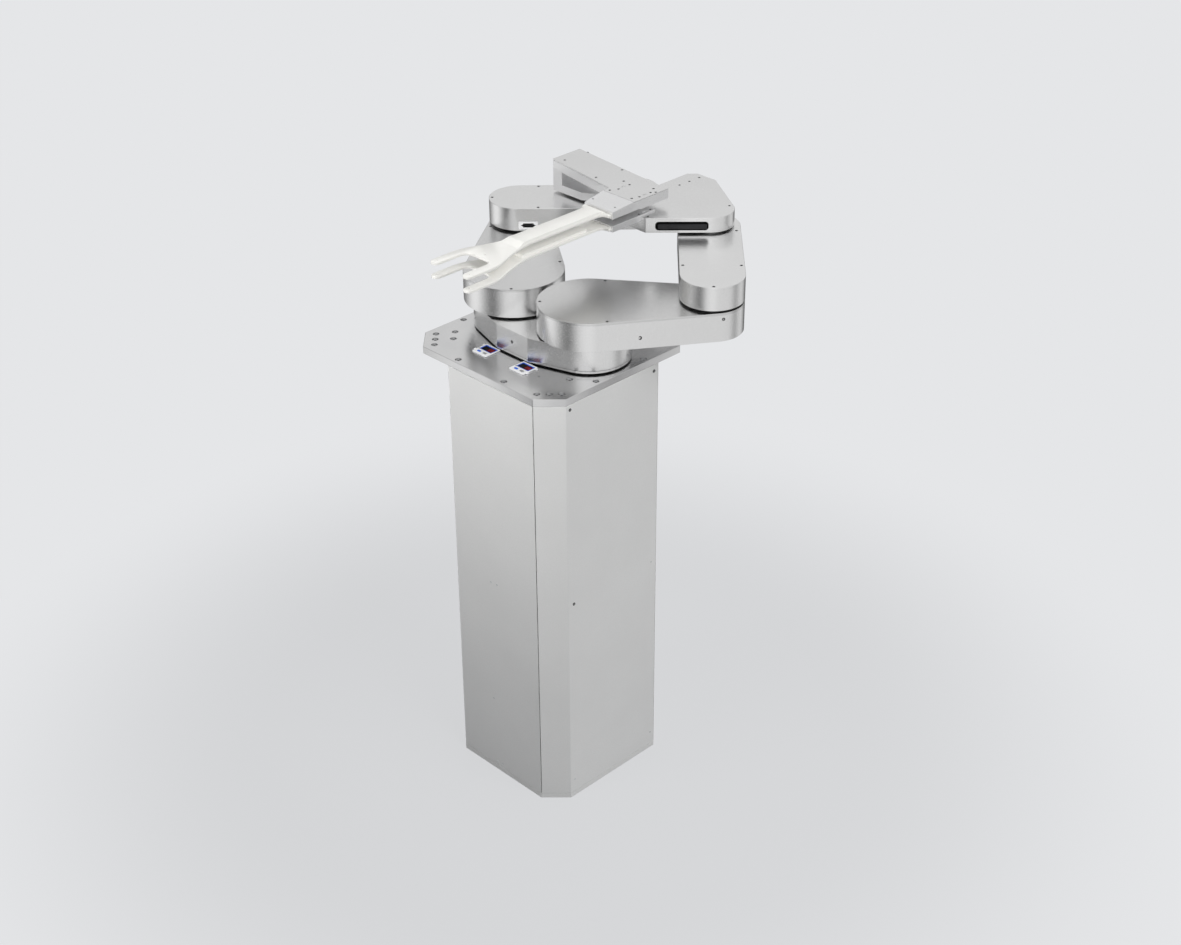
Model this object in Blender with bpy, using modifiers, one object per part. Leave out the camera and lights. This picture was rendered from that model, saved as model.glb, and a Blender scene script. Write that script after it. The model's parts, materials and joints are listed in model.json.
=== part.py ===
# Wafer transfer robot: a lift column, a turret and two belt driven arms with ceramic forks.
# The origin is on the turret's axis at the underside of the base plate. +Z is up and the
# forks point to -Y. The right arm is at +X and carries the lower hand.
import math

import bmesh
import bpy
from mathutils import Matrix, Vector

mm = 0.001
degree = math.pi / 180

# Clearances
seat_gap = 0.3 * mm            # between pieces that seat on each other
bore_gap = 0.4 * mm            # round a shaft or a post in its bore
swing_gap = 1.0 * mm           # round a piece that turns inside a housing

# Column
column_height = 850 * mm       # floor to the top of the flange plate
column_width = 291.5 * mm
column_depth = 302.5 * mm
column_chamfer = 39.6 * mm
base_thickness = 10 * mm
panel_thickness = 2 * mm
panel_seam = 1.6 * mm
post_leg = 16 * mm
ring_width = 14 * mm
ring_height = 12 * mm
flange_size = 357 * mm
flange_chamfer = 39.6 * mm
flange_thickness = 14 * mm
bolt_radius = 3.3 * mm
counterbore_radius = 5.8 * mm
counterbore_depth = 7 * mm
bolt_edge = 10.5 * mm          # bolt centres in from the plate's edge
bolt_half_pitch = 58 * mm
corner_bolt_pitch = 21 * mm
corner_bolt_edge = 19.4 * mm   # in from the chamfer
left_spare_bolts = ((36.5 * mm, 77.5 * mm), (54.5 * mm, 57.5 * mm))   # in from the left and the front edge
right_spare_bolt = (47.5 * mm, 94.5 * mm)                             # in from the right and the front edge

# Vacuum switches in the flange plate
switch_size = 36 * mm
switch_body = 31 * mm
switch_depth = 26 * mm
switch_lip = 1.5 * mm
switch_spacing = 94 * mm
switch_inset = 66 * mm         # switch centres in from the plate's front edge
display_margin = 0.5 * mm
display_height = 18 * mm
display_depth = 2.5 * mm
display_shift = 5.5 * mm
button_width = 8 * mm
button_height = 4.4 * mm
button_pitch = 14 * mm
button_shift = 10.5 * mm
button_rise = 0.8 * mm
button_sunk = 0.8 * mm
button_travel = 0.5 * mm

# Lift
lift_stroke = 300 * mm
tube_wall = 6 * mm
lift_end_space = 11.4 * mm     # left above the carriage at the top of its stroke
carriage_height = 98 * mm
clamp_ring_wall = 10 * mm
screw_radius = 10 * mm
nut_space = 1 * mm             # between the clamp ring and the nut's flange
screw_bottom = 196 * mm
screw_top_space = 6 * mm
screw_journal = 7.5 * mm
coupling_radius = 16 * mm
coupling_length = 34 * mm
nut_radius = 17 * mm
nut_flange_radius = 22 * mm
nut_flange = 9 * mm
nut_length = 38 * mm
beam_thickness = 28.2 * mm
beam_edge = 4 * mm
rail_spacing = 76 * mm
rail_width = 15 * mm
rail_height = 12 * mm
rail_bottom = 330 * mm
block_width = 34 * mm
block_height = 20 * mm
block_length = 38 * mm
block_lift = 4 * mm
carriage_plate = 11 * mm
nut_shelf = 60 * mm
bearing_height = 20 * mm
bearing_width = 54 * mm
lift_motor_size = 80 * mm
lift_motor_height = 110 * mm
lift_motor_gap = 5 * mm        # to the beam
motor_plate = 8 * mm
motor_shaft_radius = 7 * mm

# Turret
turret_gap = 3.4 * mm          # below each turning stage is a narrow shadow gap
turret_height = 45.5 * mm
turret_end_radius = 73.4 * mm
turret_depth = 189 * mm
turret_flat = 78 * mm
turret_wall = 6 * mm
turret_floor = 4 * mm
shoulder_spacing = 188 * mm
hub_wall = 4 * mm
hub_bottom = 600 * mm
hub_floor = 8 * mm
cable_hole = 12 * mm
turret_bearing_height = 20 * mm
turret_motor_radius = 45 * mm
turret_motor_length = 150 * mm
turret_motor_flange = 8 * mm
reducer_radius = 38 * mm
reducer_height = 7 * mm
arm_motor_gap = 2.5 * mm
arm_motor_length = 150 * mm
arm_motor_play = 1.5 * mm      # to the hub's cup
race_width = 7.4 * mm
arm_motor_shaft = 6 * mm
drive_pulley_radius = 14 * mm
driven_pulley_radius = 34 * mm
turret_pulley_lift = 9 * mm    # pulleys above the turret's inside floor
seal_radius = 68 * mm
seal_width = 7 * mm

# Belts and pulleys of the arms
belt_thickness = 1.6 * mm
belt_width = 14 * mm
pulley_margin = 2 * mm         # the pulley reaches past the belt on each side
elbow_pulley_radius = 20 * mm  # the shoulder's fixed pulley is twice as large
wrist_drive_radius = 18 * mm   # the wrist's own pulley is twice as large
post_radius = 10 * mm
post_foot = 3 * mm
elbow_post_radius = 8 * mm
elbow_foot_radius = 24 * mm
shaft_wall = 7.6 * mm
shaft_flange = 12 * mm

# Arms
link_length = 209.5 * mm       # both links are equal, so the hands move straight
rest_angle = 46 * degree       # the lower arm's angle from X at rest
shoulder_clearance = 4 * mm    # from the big end to the middle of the turret
elbow_radius = 56 * mm
lower_arm_height = 53.1 * mm
forearm_height = 43.3 * mm
shoulder_gap = 3.4 * mm
elbow_gap = 4.3 * mm
wrist_gap = 3.5 * mm
arm_wall = 6 * mm
lid_thickness = 4 * mm
belt_lift = 10 * mm            # belt above the inside floor of an arm

# Connector in the side of the left forearm
connector_width = 28 * mm
connector_height = 9 * mm
connector_depth = 9 * mm
connector_lip = 4 * mm
connector_lip_thickness = 1.2 * mm
connector_from_elbow = 16.5 * mm
connector_level = 11 * mm      # above the forearm's underside

# Hands
hand_hub_radius = 45 * mm
hand_shaft_radius = 14 * mm
fork_pitch = 25 * mm           # from the lower fork to the upper fork
fork_level = 28 * mm           # the lower fork's top above the lower hand's underside
clamp_width = 69 * mm
clamp_reach = 184.4 * mm       # from the wrist's axis to the clamp's front edge
clamp_seat_depth = 48 * mm
clamp_side = 2 * mm            # the fork's tongue is this much narrower on each side than its root
hand_bolt_radius = 2.2 * mm
hand_bolt_spread = 26 * mm
hand_bolt_rows = (80, 94, 108)

# Upper hand
bracket_span = 214 * mm        # from the fork's centre line to the outer wall
bracket_wall = 23 * mm
bracket_depth = 69 * mm
bracket_front = 88.4 * mm      # from the wrist's axis to the wall's front face
bracket_neck = 140 * mm
beam_height = 15 * mm
bar_height = 19.1 * mm
bar_junction_x = 43 * mm
bar_junction_y = 115.4 * mm
bar_back = 43.4 * mm
bar_back_x = 5 * mm
bar_over_fork = 8.1 * mm       # the bar's top above the fork's top
bar_under_fork = 5 * mm
cover_thickness = 2 * mm
ramp_length = 53 * mm
ramp_drop = 3.9 * mm

# Lower hand
lower_hand_height = 27.9 * mm
lower_base_thickness = 2.5 * mm
lower_wall = 6 * mm
lower_ceiling = 1.5 * mm
lower_front_x = 45 * mm
lower_front = 112.4 * mm
hand_clearance = 5 * mm        # from the upper hand's hub to the lower hand
lower_back = 104.6 * mm
lower_back_x = 14 * mm
lower_corner = 14 * mm
fork_plate_length = 107 * mm
fork_plate_over = 2.9 * mm
fork_plate_height = 11.4 * mm
window_length = 94 * mm
window_height = 16.5 * mm
window_start = 17 * mm
window_sill = 1.8 * mm
window_depth = 9 * mm
window_recess = 2 * mm

# Forks
fork_thickness = 4.5 * mm
fork_root_width = 66 * mm
fork_collar = 8 * mm           # the wide root shows this much in front of the clamp
fork_corner = 7 * mm
shank_width = 35 * mm
rib_rise = 5 * mm
rib_start = 45 * mm            # from the clamp's front to the rib's near end
rib_length = 150 * mm
rib_inset = 0.6 * mm
rib_ramp = 12 * mm
waist = 196 * mm               # from the clamp's front to the blade's waist
blade_bend = 20 * mm
blade_start = 259 * mm
blade_start_width = 79 * mm
tine_start = 300 * mm
fork_length = 348 * mm         # from the clamp's front to the tips
tine_outer = 97 * mm
tine_gap = 62 * mm
slot_depth = 70 * mm
slot_corner = 18 * mm
suction_radius = 1.5 * mm
suction_from_tip = 11 * mm

# Facets of a full circle
fine = 40
belt_facets = 32
medium = 20
coarse = 12

# Places that follow from the sizes above
right = flange_size / 2
left = right - column_width
front = -flange_size / 2
back = front + column_depth
flange_bottom = column_height - flange_thickness
turret_bottom = column_height + turret_gap
turret_top = turret_bottom + turret_height
lower_arm_bottom = turret_top + shoulder_gap
lower_arm_top = lower_arm_bottom + lower_arm_height
forearm_bottom = lower_arm_top + elbow_gap
forearm_top = forearm_bottom + forearm_height
hand_bottom = forearm_top + wrist_gap
shoulder_x = shoulder_spacing / 2
shoulder_radius = shoulder_x - shoulder_clearance
lower_left_x = shoulder_x - hand_hub_radius - hand_clearance
display_width = switch_body - 2 * display_margin
carriage_bottom = (flange_bottom - seat_gap - screw_top_space - bearing_height - lift_end_space
                   - lift_stroke - carriage_height)
tube_bottom = carriage_bottom - seat_gap
beam_back = right - panel_thickness - seat_gap
beam_front = beam_back - beam_thickness
screw_offset = beam_front - lift_motor_gap - lift_motor_size / 2
tube_radius = screw_offset - nut_flange_radius - nut_space - clamp_ring_wall
hub_radius = tube_radius - tube_wall - 2 * seat_gap - race_width
arm_motor_radius = (hub_radius - hub_wall - arm_motor_play - arm_motor_gap) / 2
arm_motor_offset = arm_motor_radius + arm_motor_gap
beam_width = rail_spacing + rail_width + 2 * beam_edge
rail_front = beam_front - rail_height
block_front = beam_front - block_lift - block_height
lower_belt_bottom = arm_wall + belt_lift
turret_floor_top = turret_bottom + turret_floor
turret_pulley_bottom = turret_floor_top + turret_pulley_lift

parts = None
cutters = None


# Scene and materials
def clearScene():
    for item in list(bpy.data.objects):
        bpy.data.objects.remove(item)


def newCollection(name):
    collection = bpy.data.collections.new(name)
    bpy.context.scene.collection.children.link(collection)
    return collection


def makeMaterial(name, colour, roughness, metallic):
    material = bpy.data.materials.new(name)
    material.use_nodes = True
    shader = material.node_tree.nodes["Principled BSDF"]
    shader.inputs["Base Color"].default_value = (*colour, 1)
    shader.inputs["Roughness"].default_value = roughness
    shader.inputs["Metallic"].default_value = metallic
    return material


clearScene()
parts = newCollection("wafer_transfer_robot")
cutters = newCollection("cutters")
finishes = {
    "aluminium": makeMaterial("satin_aluminium", (0.63, 0.63, 0.64), 0.38, 0.9),
    "panel": makeMaterial("painted_panel", (0.60, 0.61, 0.62), 0.5, 0.1),
    "ceramic": makeMaterial("alumina_ceramic", (0.86, 0.85, 0.80), 0.45, 0.0),
    "steel": makeMaterial("ground_steel", (0.55, 0.56, 0.57), 0.3, 1.0),
    "motor": makeMaterial("motor_black", (0.03, 0.03, 0.035), 0.5, 0.2),
    "rubber": makeMaterial("black_rubber", (0.02, 0.02, 0.02), 0.75, 0.0),
    "plastic": makeMaterial("white_plastic", (0.83, 0.83, 0.82), 0.4, 0.0),
    "display": makeMaterial("display_black", (0.01, 0.01, 0.015), 0.15, 0.0),
    "key": makeMaterial("grey_key", (0.5, 0.5, 0.48), 0.5, 0.0),
    "blue_key": makeMaterial("blue_key", (0.08, 0.2, 0.6), 0.5, 0.0),
    "black_plastic": makeMaterial("black_plastic", (0.02, 0.02, 0.022), 0.4, 0.0),
}


# Outlines, as lists of points that go round anticlockwise. Every round shape starts half a facet
# past the X axis, so that its corners keep off the lines of symmetry.
def circle(x, y, radius, segments=medium):
    turn = 2 * math.pi / segments
    angles = [(i + 0.5) * turn for i in range(segments)]
    return [(x + radius * math.cos(angle), y + radius * math.sin(angle)) for angle in angles]


def rectangle(x0, x1, y0, y1):
    return [(x0, y0), (x1, y0), (x1, y1), (x0, y1)]


def chamfered(x0, x1, y0, y1, chamfer, inset=0.0):
    leg = chamfer - inset * (2 - math.sqrt(2))
    x0, x1, y0, y1 = x0 + inset, x1 - inset, y0 + inset, y1 - inset
    return [(x0 + leg, y0), (x1 - leg, y0), (x1, y0 + leg), (x1, y1 - leg),
            (x1 - leg, y1), (x0 + leg, y1), (x0, y1 - leg), (x0, y0 + leg)]


def around(circles, segments=fine):
    """A taut loop round circles (x, y, radius) given anticlockwise."""
    count = len(circles)
    normals = []
    for i in range(count):
        x0, y0, r0 = circles[i]
        x1, y1, r1 = circles[(i + 1) % count]
        span = math.hypot(x1 - x0, y1 - y0)
        heading = math.atan2(y1 - y0, x1 - x0)
        normals.append(heading - math.acos((r0 - r1) / span))
    outline = []
    for i, (x, y, radius) in enumerate(circles):
        start, end = normals[i - 1], normals[i]
        while end < start:
            end += 2 * math.pi
        steps = 0
        if radius > 0:
            steps = max(1, round((end - start) / (2 * math.pi) * segments))
        for k in range(steps + 1):
            angle = start + (end - start) * k / max(1, steps)
            outline.append((x + radius * math.cos(angle), y + radius * math.sin(angle)))
    return outline


# Solids
def meshObject(name, mesh, collection=None):
    item = bpy.data.objects.new(name, mesh)
    (collection or parts).objects.link(item)
    return item


def smoothRounds(mesh, angle=30):
    mesh.shade_smooth()
    mesh.set_sharp_from_angle(angle=angle * degree)


def bodyFrom(name, bm):
    mesh = bpy.data.meshes.new(name)
    bm.to_mesh(mesh)
    bm.free()
    smoothRounds(mesh)
    return meshObject(name, mesh)


def box(name, x0, x1, y0, y1, z0, z1):
    bm = bmesh.new()
    place = Matrix.Translation(((x0 + x1) / 2, (y0 + y1) / 2, (z0 + z1) / 2))
    size = Matrix.Diagonal((x1 - x0, y1 - y0, z1 - z0, 1))
    bmesh.ops.create_cube(bm, size=1, matrix=place @ size)
    return bodyFrom(name, bm)


def boxes(name, extents):
    bm = bmesh.new()
    for x0, x1, y0, y1, z0, z1 in extents:
        place = Matrix.Translation(((x0 + x1) / 2, (y0 + y1) / 2, (z0 + z1) / 2))
        size = Matrix.Diagonal((x1 - x0, y1 - y0, z1 - z0, 1))
        bmesh.ops.create_cube(bm, size=1, matrix=place @ size)
    return bodyFrom(name, bm)


def cylinders(name, centres, radius, z0, z1, segments=coarse):
    bm = bmesh.new()
    half = Matrix.Rotation(math.pi / segments, 4, "Z")
    for x, y in centres:
        bmesh.ops.create_cone(bm, cap_ends=True, segments=segments, radius1=radius, radius2=radius,
                              depth=z1 - z0, matrix=Matrix.Translation((x, y, (z0 + z1) / 2)) @ half)
    return bodyFrom(name, bm)


def plate(name, outlines, z0, z1):
    """A flat plate between two heights; outlines inside another are its holes."""
    curve = bpy.data.curves.new(name, "CURVE")
    curve.dimensions = "2D"
    curve.fill_mode = "BOTH"
    curve.extrude = (z1 - z0) / 2
    for outline in outlines:
        spline = curve.splines.new("POLY")
        spline.points.add(len(outline) - 1)
        for point, (x, y) in zip(spline.points, outline):
            point.co = (x, y, 0, 1)
        spline.use_cyclic_u = True
    drawing = bpy.data.objects.new(name + "_drawing", curve)
    parts.objects.link(drawing)
    drawing.location.z = (z0 + z1) / 2
    bpy.context.view_layer.update()
    drawn = drawing.evaluated_get(bpy.context.evaluated_depsgraph_get())
    mesh = bpy.data.meshes.new_from_object(drawn)
    bm = bmesh.new()
    bm.from_mesh(mesh)
    bmesh.ops.remove_doubles(bm, verts=bm.verts, dist=0.00001)
    bmesh.ops.dissolve_limit(bm, angle_limit=0.01 * degree, verts=bm.verts, edges=bm.edges)
    bm.to_mesh(mesh)
    bm.free()
    mesh.name = name
    smoothRounds(mesh)
    item = meshObject(name, mesh)
    item.matrix_world = drawing.matrix_world
    bpy.data.objects.remove(drawing)
    return item


def turned(name, profile, segments=medium, hollow=False):
    """A turned piece. The profile of (radius, height) runs down its outer side."""
    bm = bmesh.new()
    half = math.pi / segments
    points = [bm.verts.new((r * math.cos(half), r * math.sin(half), height)) for r, height in profile]
    for first, second in zip(points, points[1:]):
        bm.edges.new((first, second))
    if hollow:
        bm.edges.new((points[-1], points[0]))
    mesh = bpy.data.meshes.new(name)
    bm.to_mesh(mesh)
    bm.free()
    item = meshObject(name, mesh)
    screw = item.modifiers.new("turn", "SCREW")
    screw.angle = 2 * math.pi
    screw.steps = segments
    screw.render_steps = segments
    screw.use_merge_vertices = True
    screw.merge_threshold = 0.00001
    screw.use_smooth_shade = True
    return item


def combine(target, tools, operation):
    for tool in tools:
        parts.objects.unlink(tool)
        cutters.objects.link(tool)
        tool.hide_render = True
        tool.display_type = "WIRE"
        step = target.modifiers.new(operation.lower() + "_" + tool.name, "BOOLEAN")
        step.operation = operation
        step.solver = "EXACT"
        step.object = tool
    return target


def cut(target, *tools):
    return combine(target, tools, "DIFFERENCE")


def fuse(target, *tools):
    return combine(target, tools, "UNION")


def carry(item, frame):
    """Parents a piece and the tools that shape it to the same frame."""
    item.parent = frame
    for step in item.modifiers:
        if step.type == "BOOLEAN":
            carry(step.object, frame)


def finish(item, material, frame=None):
    item.data.materials.clear()
    item.data.materials.append(finishes[material])
    carry(item, frame)
    return item


def frameAt(name, parent, x, y, z, turn=0.0):
    empty = bpy.data.objects.new(name, None)
    empty.empty_display_size = 40 * mm
    empty.location = (x, y, z)
    empty.rotation_euler.z = turn
    empty.parent = parent
    parts.objects.link(empty)
    return empty


def moveBy(item, x=0.0, y=0.0, z=0.0):
    item.location += Vector((x, y, z))
    return item


# Column
def panelOutline(path):
    """A bent sheet along three corners of the column, its thickness to the inside, its ends mitred."""
    first, bend, last = (Vector(corner) for corner in path)
    ahead, after = (bend - first).normalized(), (last - bend).normalized()
    in0, in1 = Vector((-ahead.y, ahead.x)), Vector((-after.y, after.x))
    start, end = first + ahead * panel_seam / 2, last - after * panel_seam / 2
    mitre = panel_thickness * math.tan(22.5 * degree)
    inner_bend = bend + (in0 + in1) * panel_thickness / (1 + in0.dot(in1))
    return [start, bend, end, end + in1 * panel_thickness - after * mitre, inner_bend,
            start + in0 * panel_thickness + ahead * mitre]


def buildColumn():
    corners = chamfered(left, right, front, back, column_chamfer)
    finish(plate("base_plate", [corners], 0, base_thickness), "panel")
    z0, z1 = base_thickness + seat_gap, flange_bottom - seat_gap
    paths = {
        "front_panel": (corners[7], corners[0], corners[1]),
        "right_panel": (corners[1], corners[2], corners[3]),
        "back_panel": (corners[3], corners[4], corners[5]),
        "left_panel": (corners[5], corners[6], corners[7]),
    }
    for name, path in paths.items():
        finish(plate(name, [panelOutline(path)], z0, z1), "panel")

    # Corner posts between two rings, open where the lift beam stands
    inner = chamfered(left, right, front, back, column_chamfer, panel_thickness + seat_gap)
    window = chamfered(left, right, front, back, column_chamfer, panel_thickness + seat_gap + ring_width)
    frame = plate("column_frame", [inner, window], z0, z1)
    keep = column_chamfer + post_leg
    low, high = z0 + ring_height, z1 - ring_height
    along_x = box("frame_window_x", left - mm, right + mm, front + keep, back - keep, low, high)
    along_y = box("frame_window_y", left + keep, right - keep, front - mm, back + mm, low, high)
    reach = beam_width / 2 + seat_gap
    pocket = box("beam_pocket", beam_front - seat_gap, right, -reach, reach, z0 - mm, z1 + mm)
    cut(frame, along_x, along_y, pocket)
    finish(frame, "steel")


def flangeBolts():
    half, far = bolt_half_pitch, flange_size / 2 - bolt_edge
    centres = [(s * half, t * far) for s in (-1, 1) for t in (-1, 1)]
    centres += [(s * far, t * half) for s in (-1, 1) for t in (-1, 1)]
    middle = flange_size / 2 - flange_chamfer / 2 - corner_bolt_edge / math.sqrt(2)
    step = corner_bolt_pitch / math.sqrt(2)
    for s in (-1, 1):
        for t in (-1, 1):
            for k in (-1, 0, 1):
                centres.append((s * (middle + k * step), t * (middle - k * step)))
    half = flange_size / 2
    centres += [(x - half, y - half) for x, y in left_spare_bolts]
    centres.append((half - right_spare_bolt[0], right_spare_bolt[1] - half))
    return centres


def switchPlaces():
    y = front + switch_inset
    return {"left": (-switch_spacing / 2, y), "right": (switch_spacing / 2, y)}


def buildFlange():
    half = flange_size / 2
    outlines = [chamfered(-half, half, -half, half, flange_chamfer),
                circle(0, 0, tube_radius + swing_gap, fine)]
    flange = plate("flange_plate", outlines, flange_bottom, column_height)
    bolts = flangeBolts()
    through = cylinders("bolt_holes", bolts, bolt_radius, flange_bottom - 2 * mm, column_height + 2 * mm, 6)
    floor = column_height - counterbore_depth
    sinks = cylinders("counterbores", bolts, counterbore_radius, floor, column_height + 2 * mm, 8)
    reach = switch_body / 2 + seat_gap
    windows = []
    for x, y in switchPlaces().values():
        windows.append((x - reach, x + reach, y - reach, y + reach, flange_bottom - mm, column_height + mm))
    cut(flange, sinks, through, boxes("switch_windows", windows))
    finish(flange, "aluminium")


def buildSwitches():
    g = seat_gap
    top = column_height + g + switch_lip
    for side, (x, y) in switchPlaces().items():
        lip, body = switch_size / 2, switch_body / 2
        housing = box(side + "_switch", x - lip, x + lip, y - lip, y + lip, column_height + g, top)
        stem = box(side + "_switch_stem", x - body, x + body, y - body, y + body,
                   column_height - switch_depth, top - switch_lip / 2)
        w, h, c = display_width / 2, display_height / 2, y + display_shift
        pocket = box(side + "_display_pocket", x - w, x + w, c - h, c + h, top - display_depth, top + mm)
        display = box(side + "_switch_display", x - w + g, x + w - g, c - h + g, c + h - g,
                      top - display_depth + g, top - g)
        finish(display, "display")
        w, h, c = button_width / 2, button_height / 2, y - button_shift
        floor = top - button_sunk - button_travel - g
        wells = []
        for name, offset in (("mode_button", -button_pitch / 2), ("set_button", button_pitch / 2)):
            bx = x + offset
            wells.append(box(side + "_" + name + "_well", bx - w - g, bx + w + g, c - h - g, c + h + g,
                             floor, top + mm))
            key = box(side + "_" + name, -w, w, -h, h, -button_sunk, button_rise)
            finish(moveBy(key, bx, c, top), "blue_key" if offset < 0 else "key")
        cut(fuse(housing, stem), pocket, *wells)
        finish(housing, "plastic")


# Lift
def buildLiftFrame():
    z0, z1 = base_thickness + seat_gap, flange_bottom - seat_gap
    top = z1 - screw_top_space
    beam = box("lift_beam", beam_front, beam_back, -beam_width / 2, beam_width / 2, z0, z1)
    for s in (-1, 1):
        y = s * rail_spacing / 2
        fuse(beam, box("lift_rail", rail_front, beam_front + mm, y - rail_width / 2, y + rail_width / 2,
                       rail_bottom, top))
    finish(beam, "aluminium")

    reach, wide = screw_offset - bearing_width / 2, bearing_width / 2
    x1 = beam_front - seat_gap
    bearing_floor = screw_bottom + coupling_length + seat_gap
    bearing_top = bearing_floor + bearing_height
    motor_top = screw_bottom - 2 * seat_gap - motor_plate
    upper = box("upper_screw_bearing", reach, x1, -wide, wide, top - bearing_height, top)
    screw_axis = [(screw_offset, 0)]
    upper_bore = cylinders("upper_journal_bore", screw_axis, screw_journal + bore_gap,
                           top - bearing_height - mm, top + mm)
    finish(cut(upper, upper_bore), "aluminium")
    bracket = box("lift_motor_bracket", reach, x1, -wide, wide, motor_top, motor_top + motor_plate)
    web = box("bracket_web", screw_offset + coupling_radius + 4 * mm, x1, -wide, wide,
              motor_top + motor_plate / 2, bearing_floor + bearing_height / 2)
    lower = box("lower_bearing", reach, x1, -wide, wide, bearing_floor, bearing_top)
    journal = cylinders("lower_journal_bore", screw_axis, screw_journal + bore_gap, bearing_floor - mm,
                        bearing_top + mm)
    opening = cylinders("motor_shaft_bore", screw_axis, motor_shaft_radius + bore_gap, motor_top - mm,
                        motor_top + motor_plate + mm)
    finish(cut(fuse(bracket, web, lower), journal, opening), "aluminium")

    half = lift_motor_size / 2
    top = motor_top - seat_gap
    motor = box("lift_motor", screw_offset - half, screw_offset + half, -half, half,
                top - lift_motor_height, top)
    fuse(motor, cylinders("lift_motor_shaft", [(screw_offset, 0)], motor_shaft_radius, top - 5 * mm,
                          screw_bottom + coupling_length / 2 - seat_gap, coarse))
    finish(motor, "motor")


def buildScrew():
    """The ball screw with the coupling on its lower end, turned as one."""
    top = flange_bottom - seat_gap - screw_top_space
    shoulder_low = screw_bottom + coupling_length + 2 * seat_gap + bearing_height
    shoulder_high = top - bearing_height - seat_gap
    bore, middle = motor_shaft_radius + bore_gap, screw_bottom + coupling_length / 2
    profile = [(0, top), (screw_journal, top), (screw_journal, shoulder_high), (screw_radius, shoulder_high),
               (screw_radius, shoulder_low), (screw_journal, shoulder_low),
               (screw_journal, screw_bottom + coupling_length), (coupling_radius, screw_bottom + coupling_length),
               (coupling_radius, screw_bottom), (bore, screw_bottom), (bore, middle), (0, middle)]
    finish(moveBy(turned("ball_screw", profile, coarse), screw_offset), "steel")


def buildLift(frame):
    outer, inner = tube_radius, tube_radius - tube_wall
    tube_top = turret_bottom - seat_gap
    tube = plate("lift_tube", [circle(0, 0, outer, fine), circle(0, 0, inner, fine)], tube_bottom, tube_top)
    finish(tube, "aluminium", frame)

    # The carriage clamps the tube and runs on four guide blocks
    z0, z1 = carriage_bottom, carriage_bottom + carriage_height
    wide = rail_spacing / 2 + block_width / 2
    carriage = plate("lift_carriage", [circle(0, 0, outer + clamp_ring_wall, fine)], z0, z1)
    back_plate = box("carriage_plate", block_front - carriage_plate, block_front + mm, -wide, wide, z0, z1)
    shelf_top = z0 + nut_length - nut_flange
    shelf = box("carriage_shelf", 0, block_front - mm, -nut_shelf / 2, nut_shelf / 2, z0, shelf_top)
    pads = []
    slots = []
    for s in (-1, 1):
        y = s * rail_spacing / 2
        half = rail_width / 2 + bore_gap
        slots.append((rail_front - bore_gap, beam_front, y - half, y + half, z0 - mm, z1 + mm))
        for low in (z0, z1 - block_length):
            pads.append(box("guide_block", block_front, beam_front - block_lift,
                            y - block_width / 2, y + block_width / 2, low, low + block_length))
    bore = cylinders("tube_bore", [(0, 0)], outer + seat_gap, z0 - mm, z1 + mm, fine)
    nut_bore = cylinders("nut_bore", [(screw_offset, 0)], nut_radius + seat_gap, z0 - mm, z1 + mm, medium)
    nut_seat = cylinders("nut_seat", [(screw_offset, 0)], nut_flange_radius + seat_gap, shelf_top, z1 + mm,
                         medium)
    cut(fuse(carriage, back_plate, shelf, *pads), bore, nut_bore, nut_seat, boxes("rail_slots", slots))
    finish(carriage, "aluminium", frame)

    top = shelf_top + seat_gap + nut_flange
    bottom = top - nut_flange
    nut = turned("ball_nut", [(screw_radius + bore_gap, top), (nut_flange_radius, top),
                              (nut_flange_radius, bottom), (nut_radius, bottom), (nut_radius, top - nut_length),
                              (screw_radius + bore_gap, top - nut_length)], medium, hollow=True)
    finish(moveBy(nut, screw_offset), "steel", frame)

    race_out, race_in = inner - seat_gap, hub_radius + seat_gap
    top = turret_bottom - seat_gap
    race = plate("turret_bearing", [circle(0, 0, race_out, fine), circle(0, 0, race_in, fine)],
                 top - turret_bearing_height, top)
    finish(race, "steel", frame)

    top = hub_bottom - seat_gap
    rim = inner - seat_gap
    seat, foot = top - reducer_height, top - reducer_height - turret_motor_flange
    motor = turned("turret_motor", [(0, top), (reducer_radius, top), (reducer_radius, seat), (rim, seat),
                                    (rim, foot), (turret_motor_radius, foot),
                                    (turret_motor_radius, foot - turret_motor_length),
                                    (0, foot - turret_motor_length)], medium)
    finish(motor, "motor", frame)


# Turret
def turretOutline(inset=0.0):
    r, x, y = turret_end_radius - inset, turret_flat / 2, turret_depth / 2 - inset
    corners = [(shoulder_x, 0, r), (x, y, 0), (-x, y, 0), (-shoulder_x, 0, r), (-x, -y, 0), (x, -y, 0)]
    return around(corners, fine - 4 if inset else fine)


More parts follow.
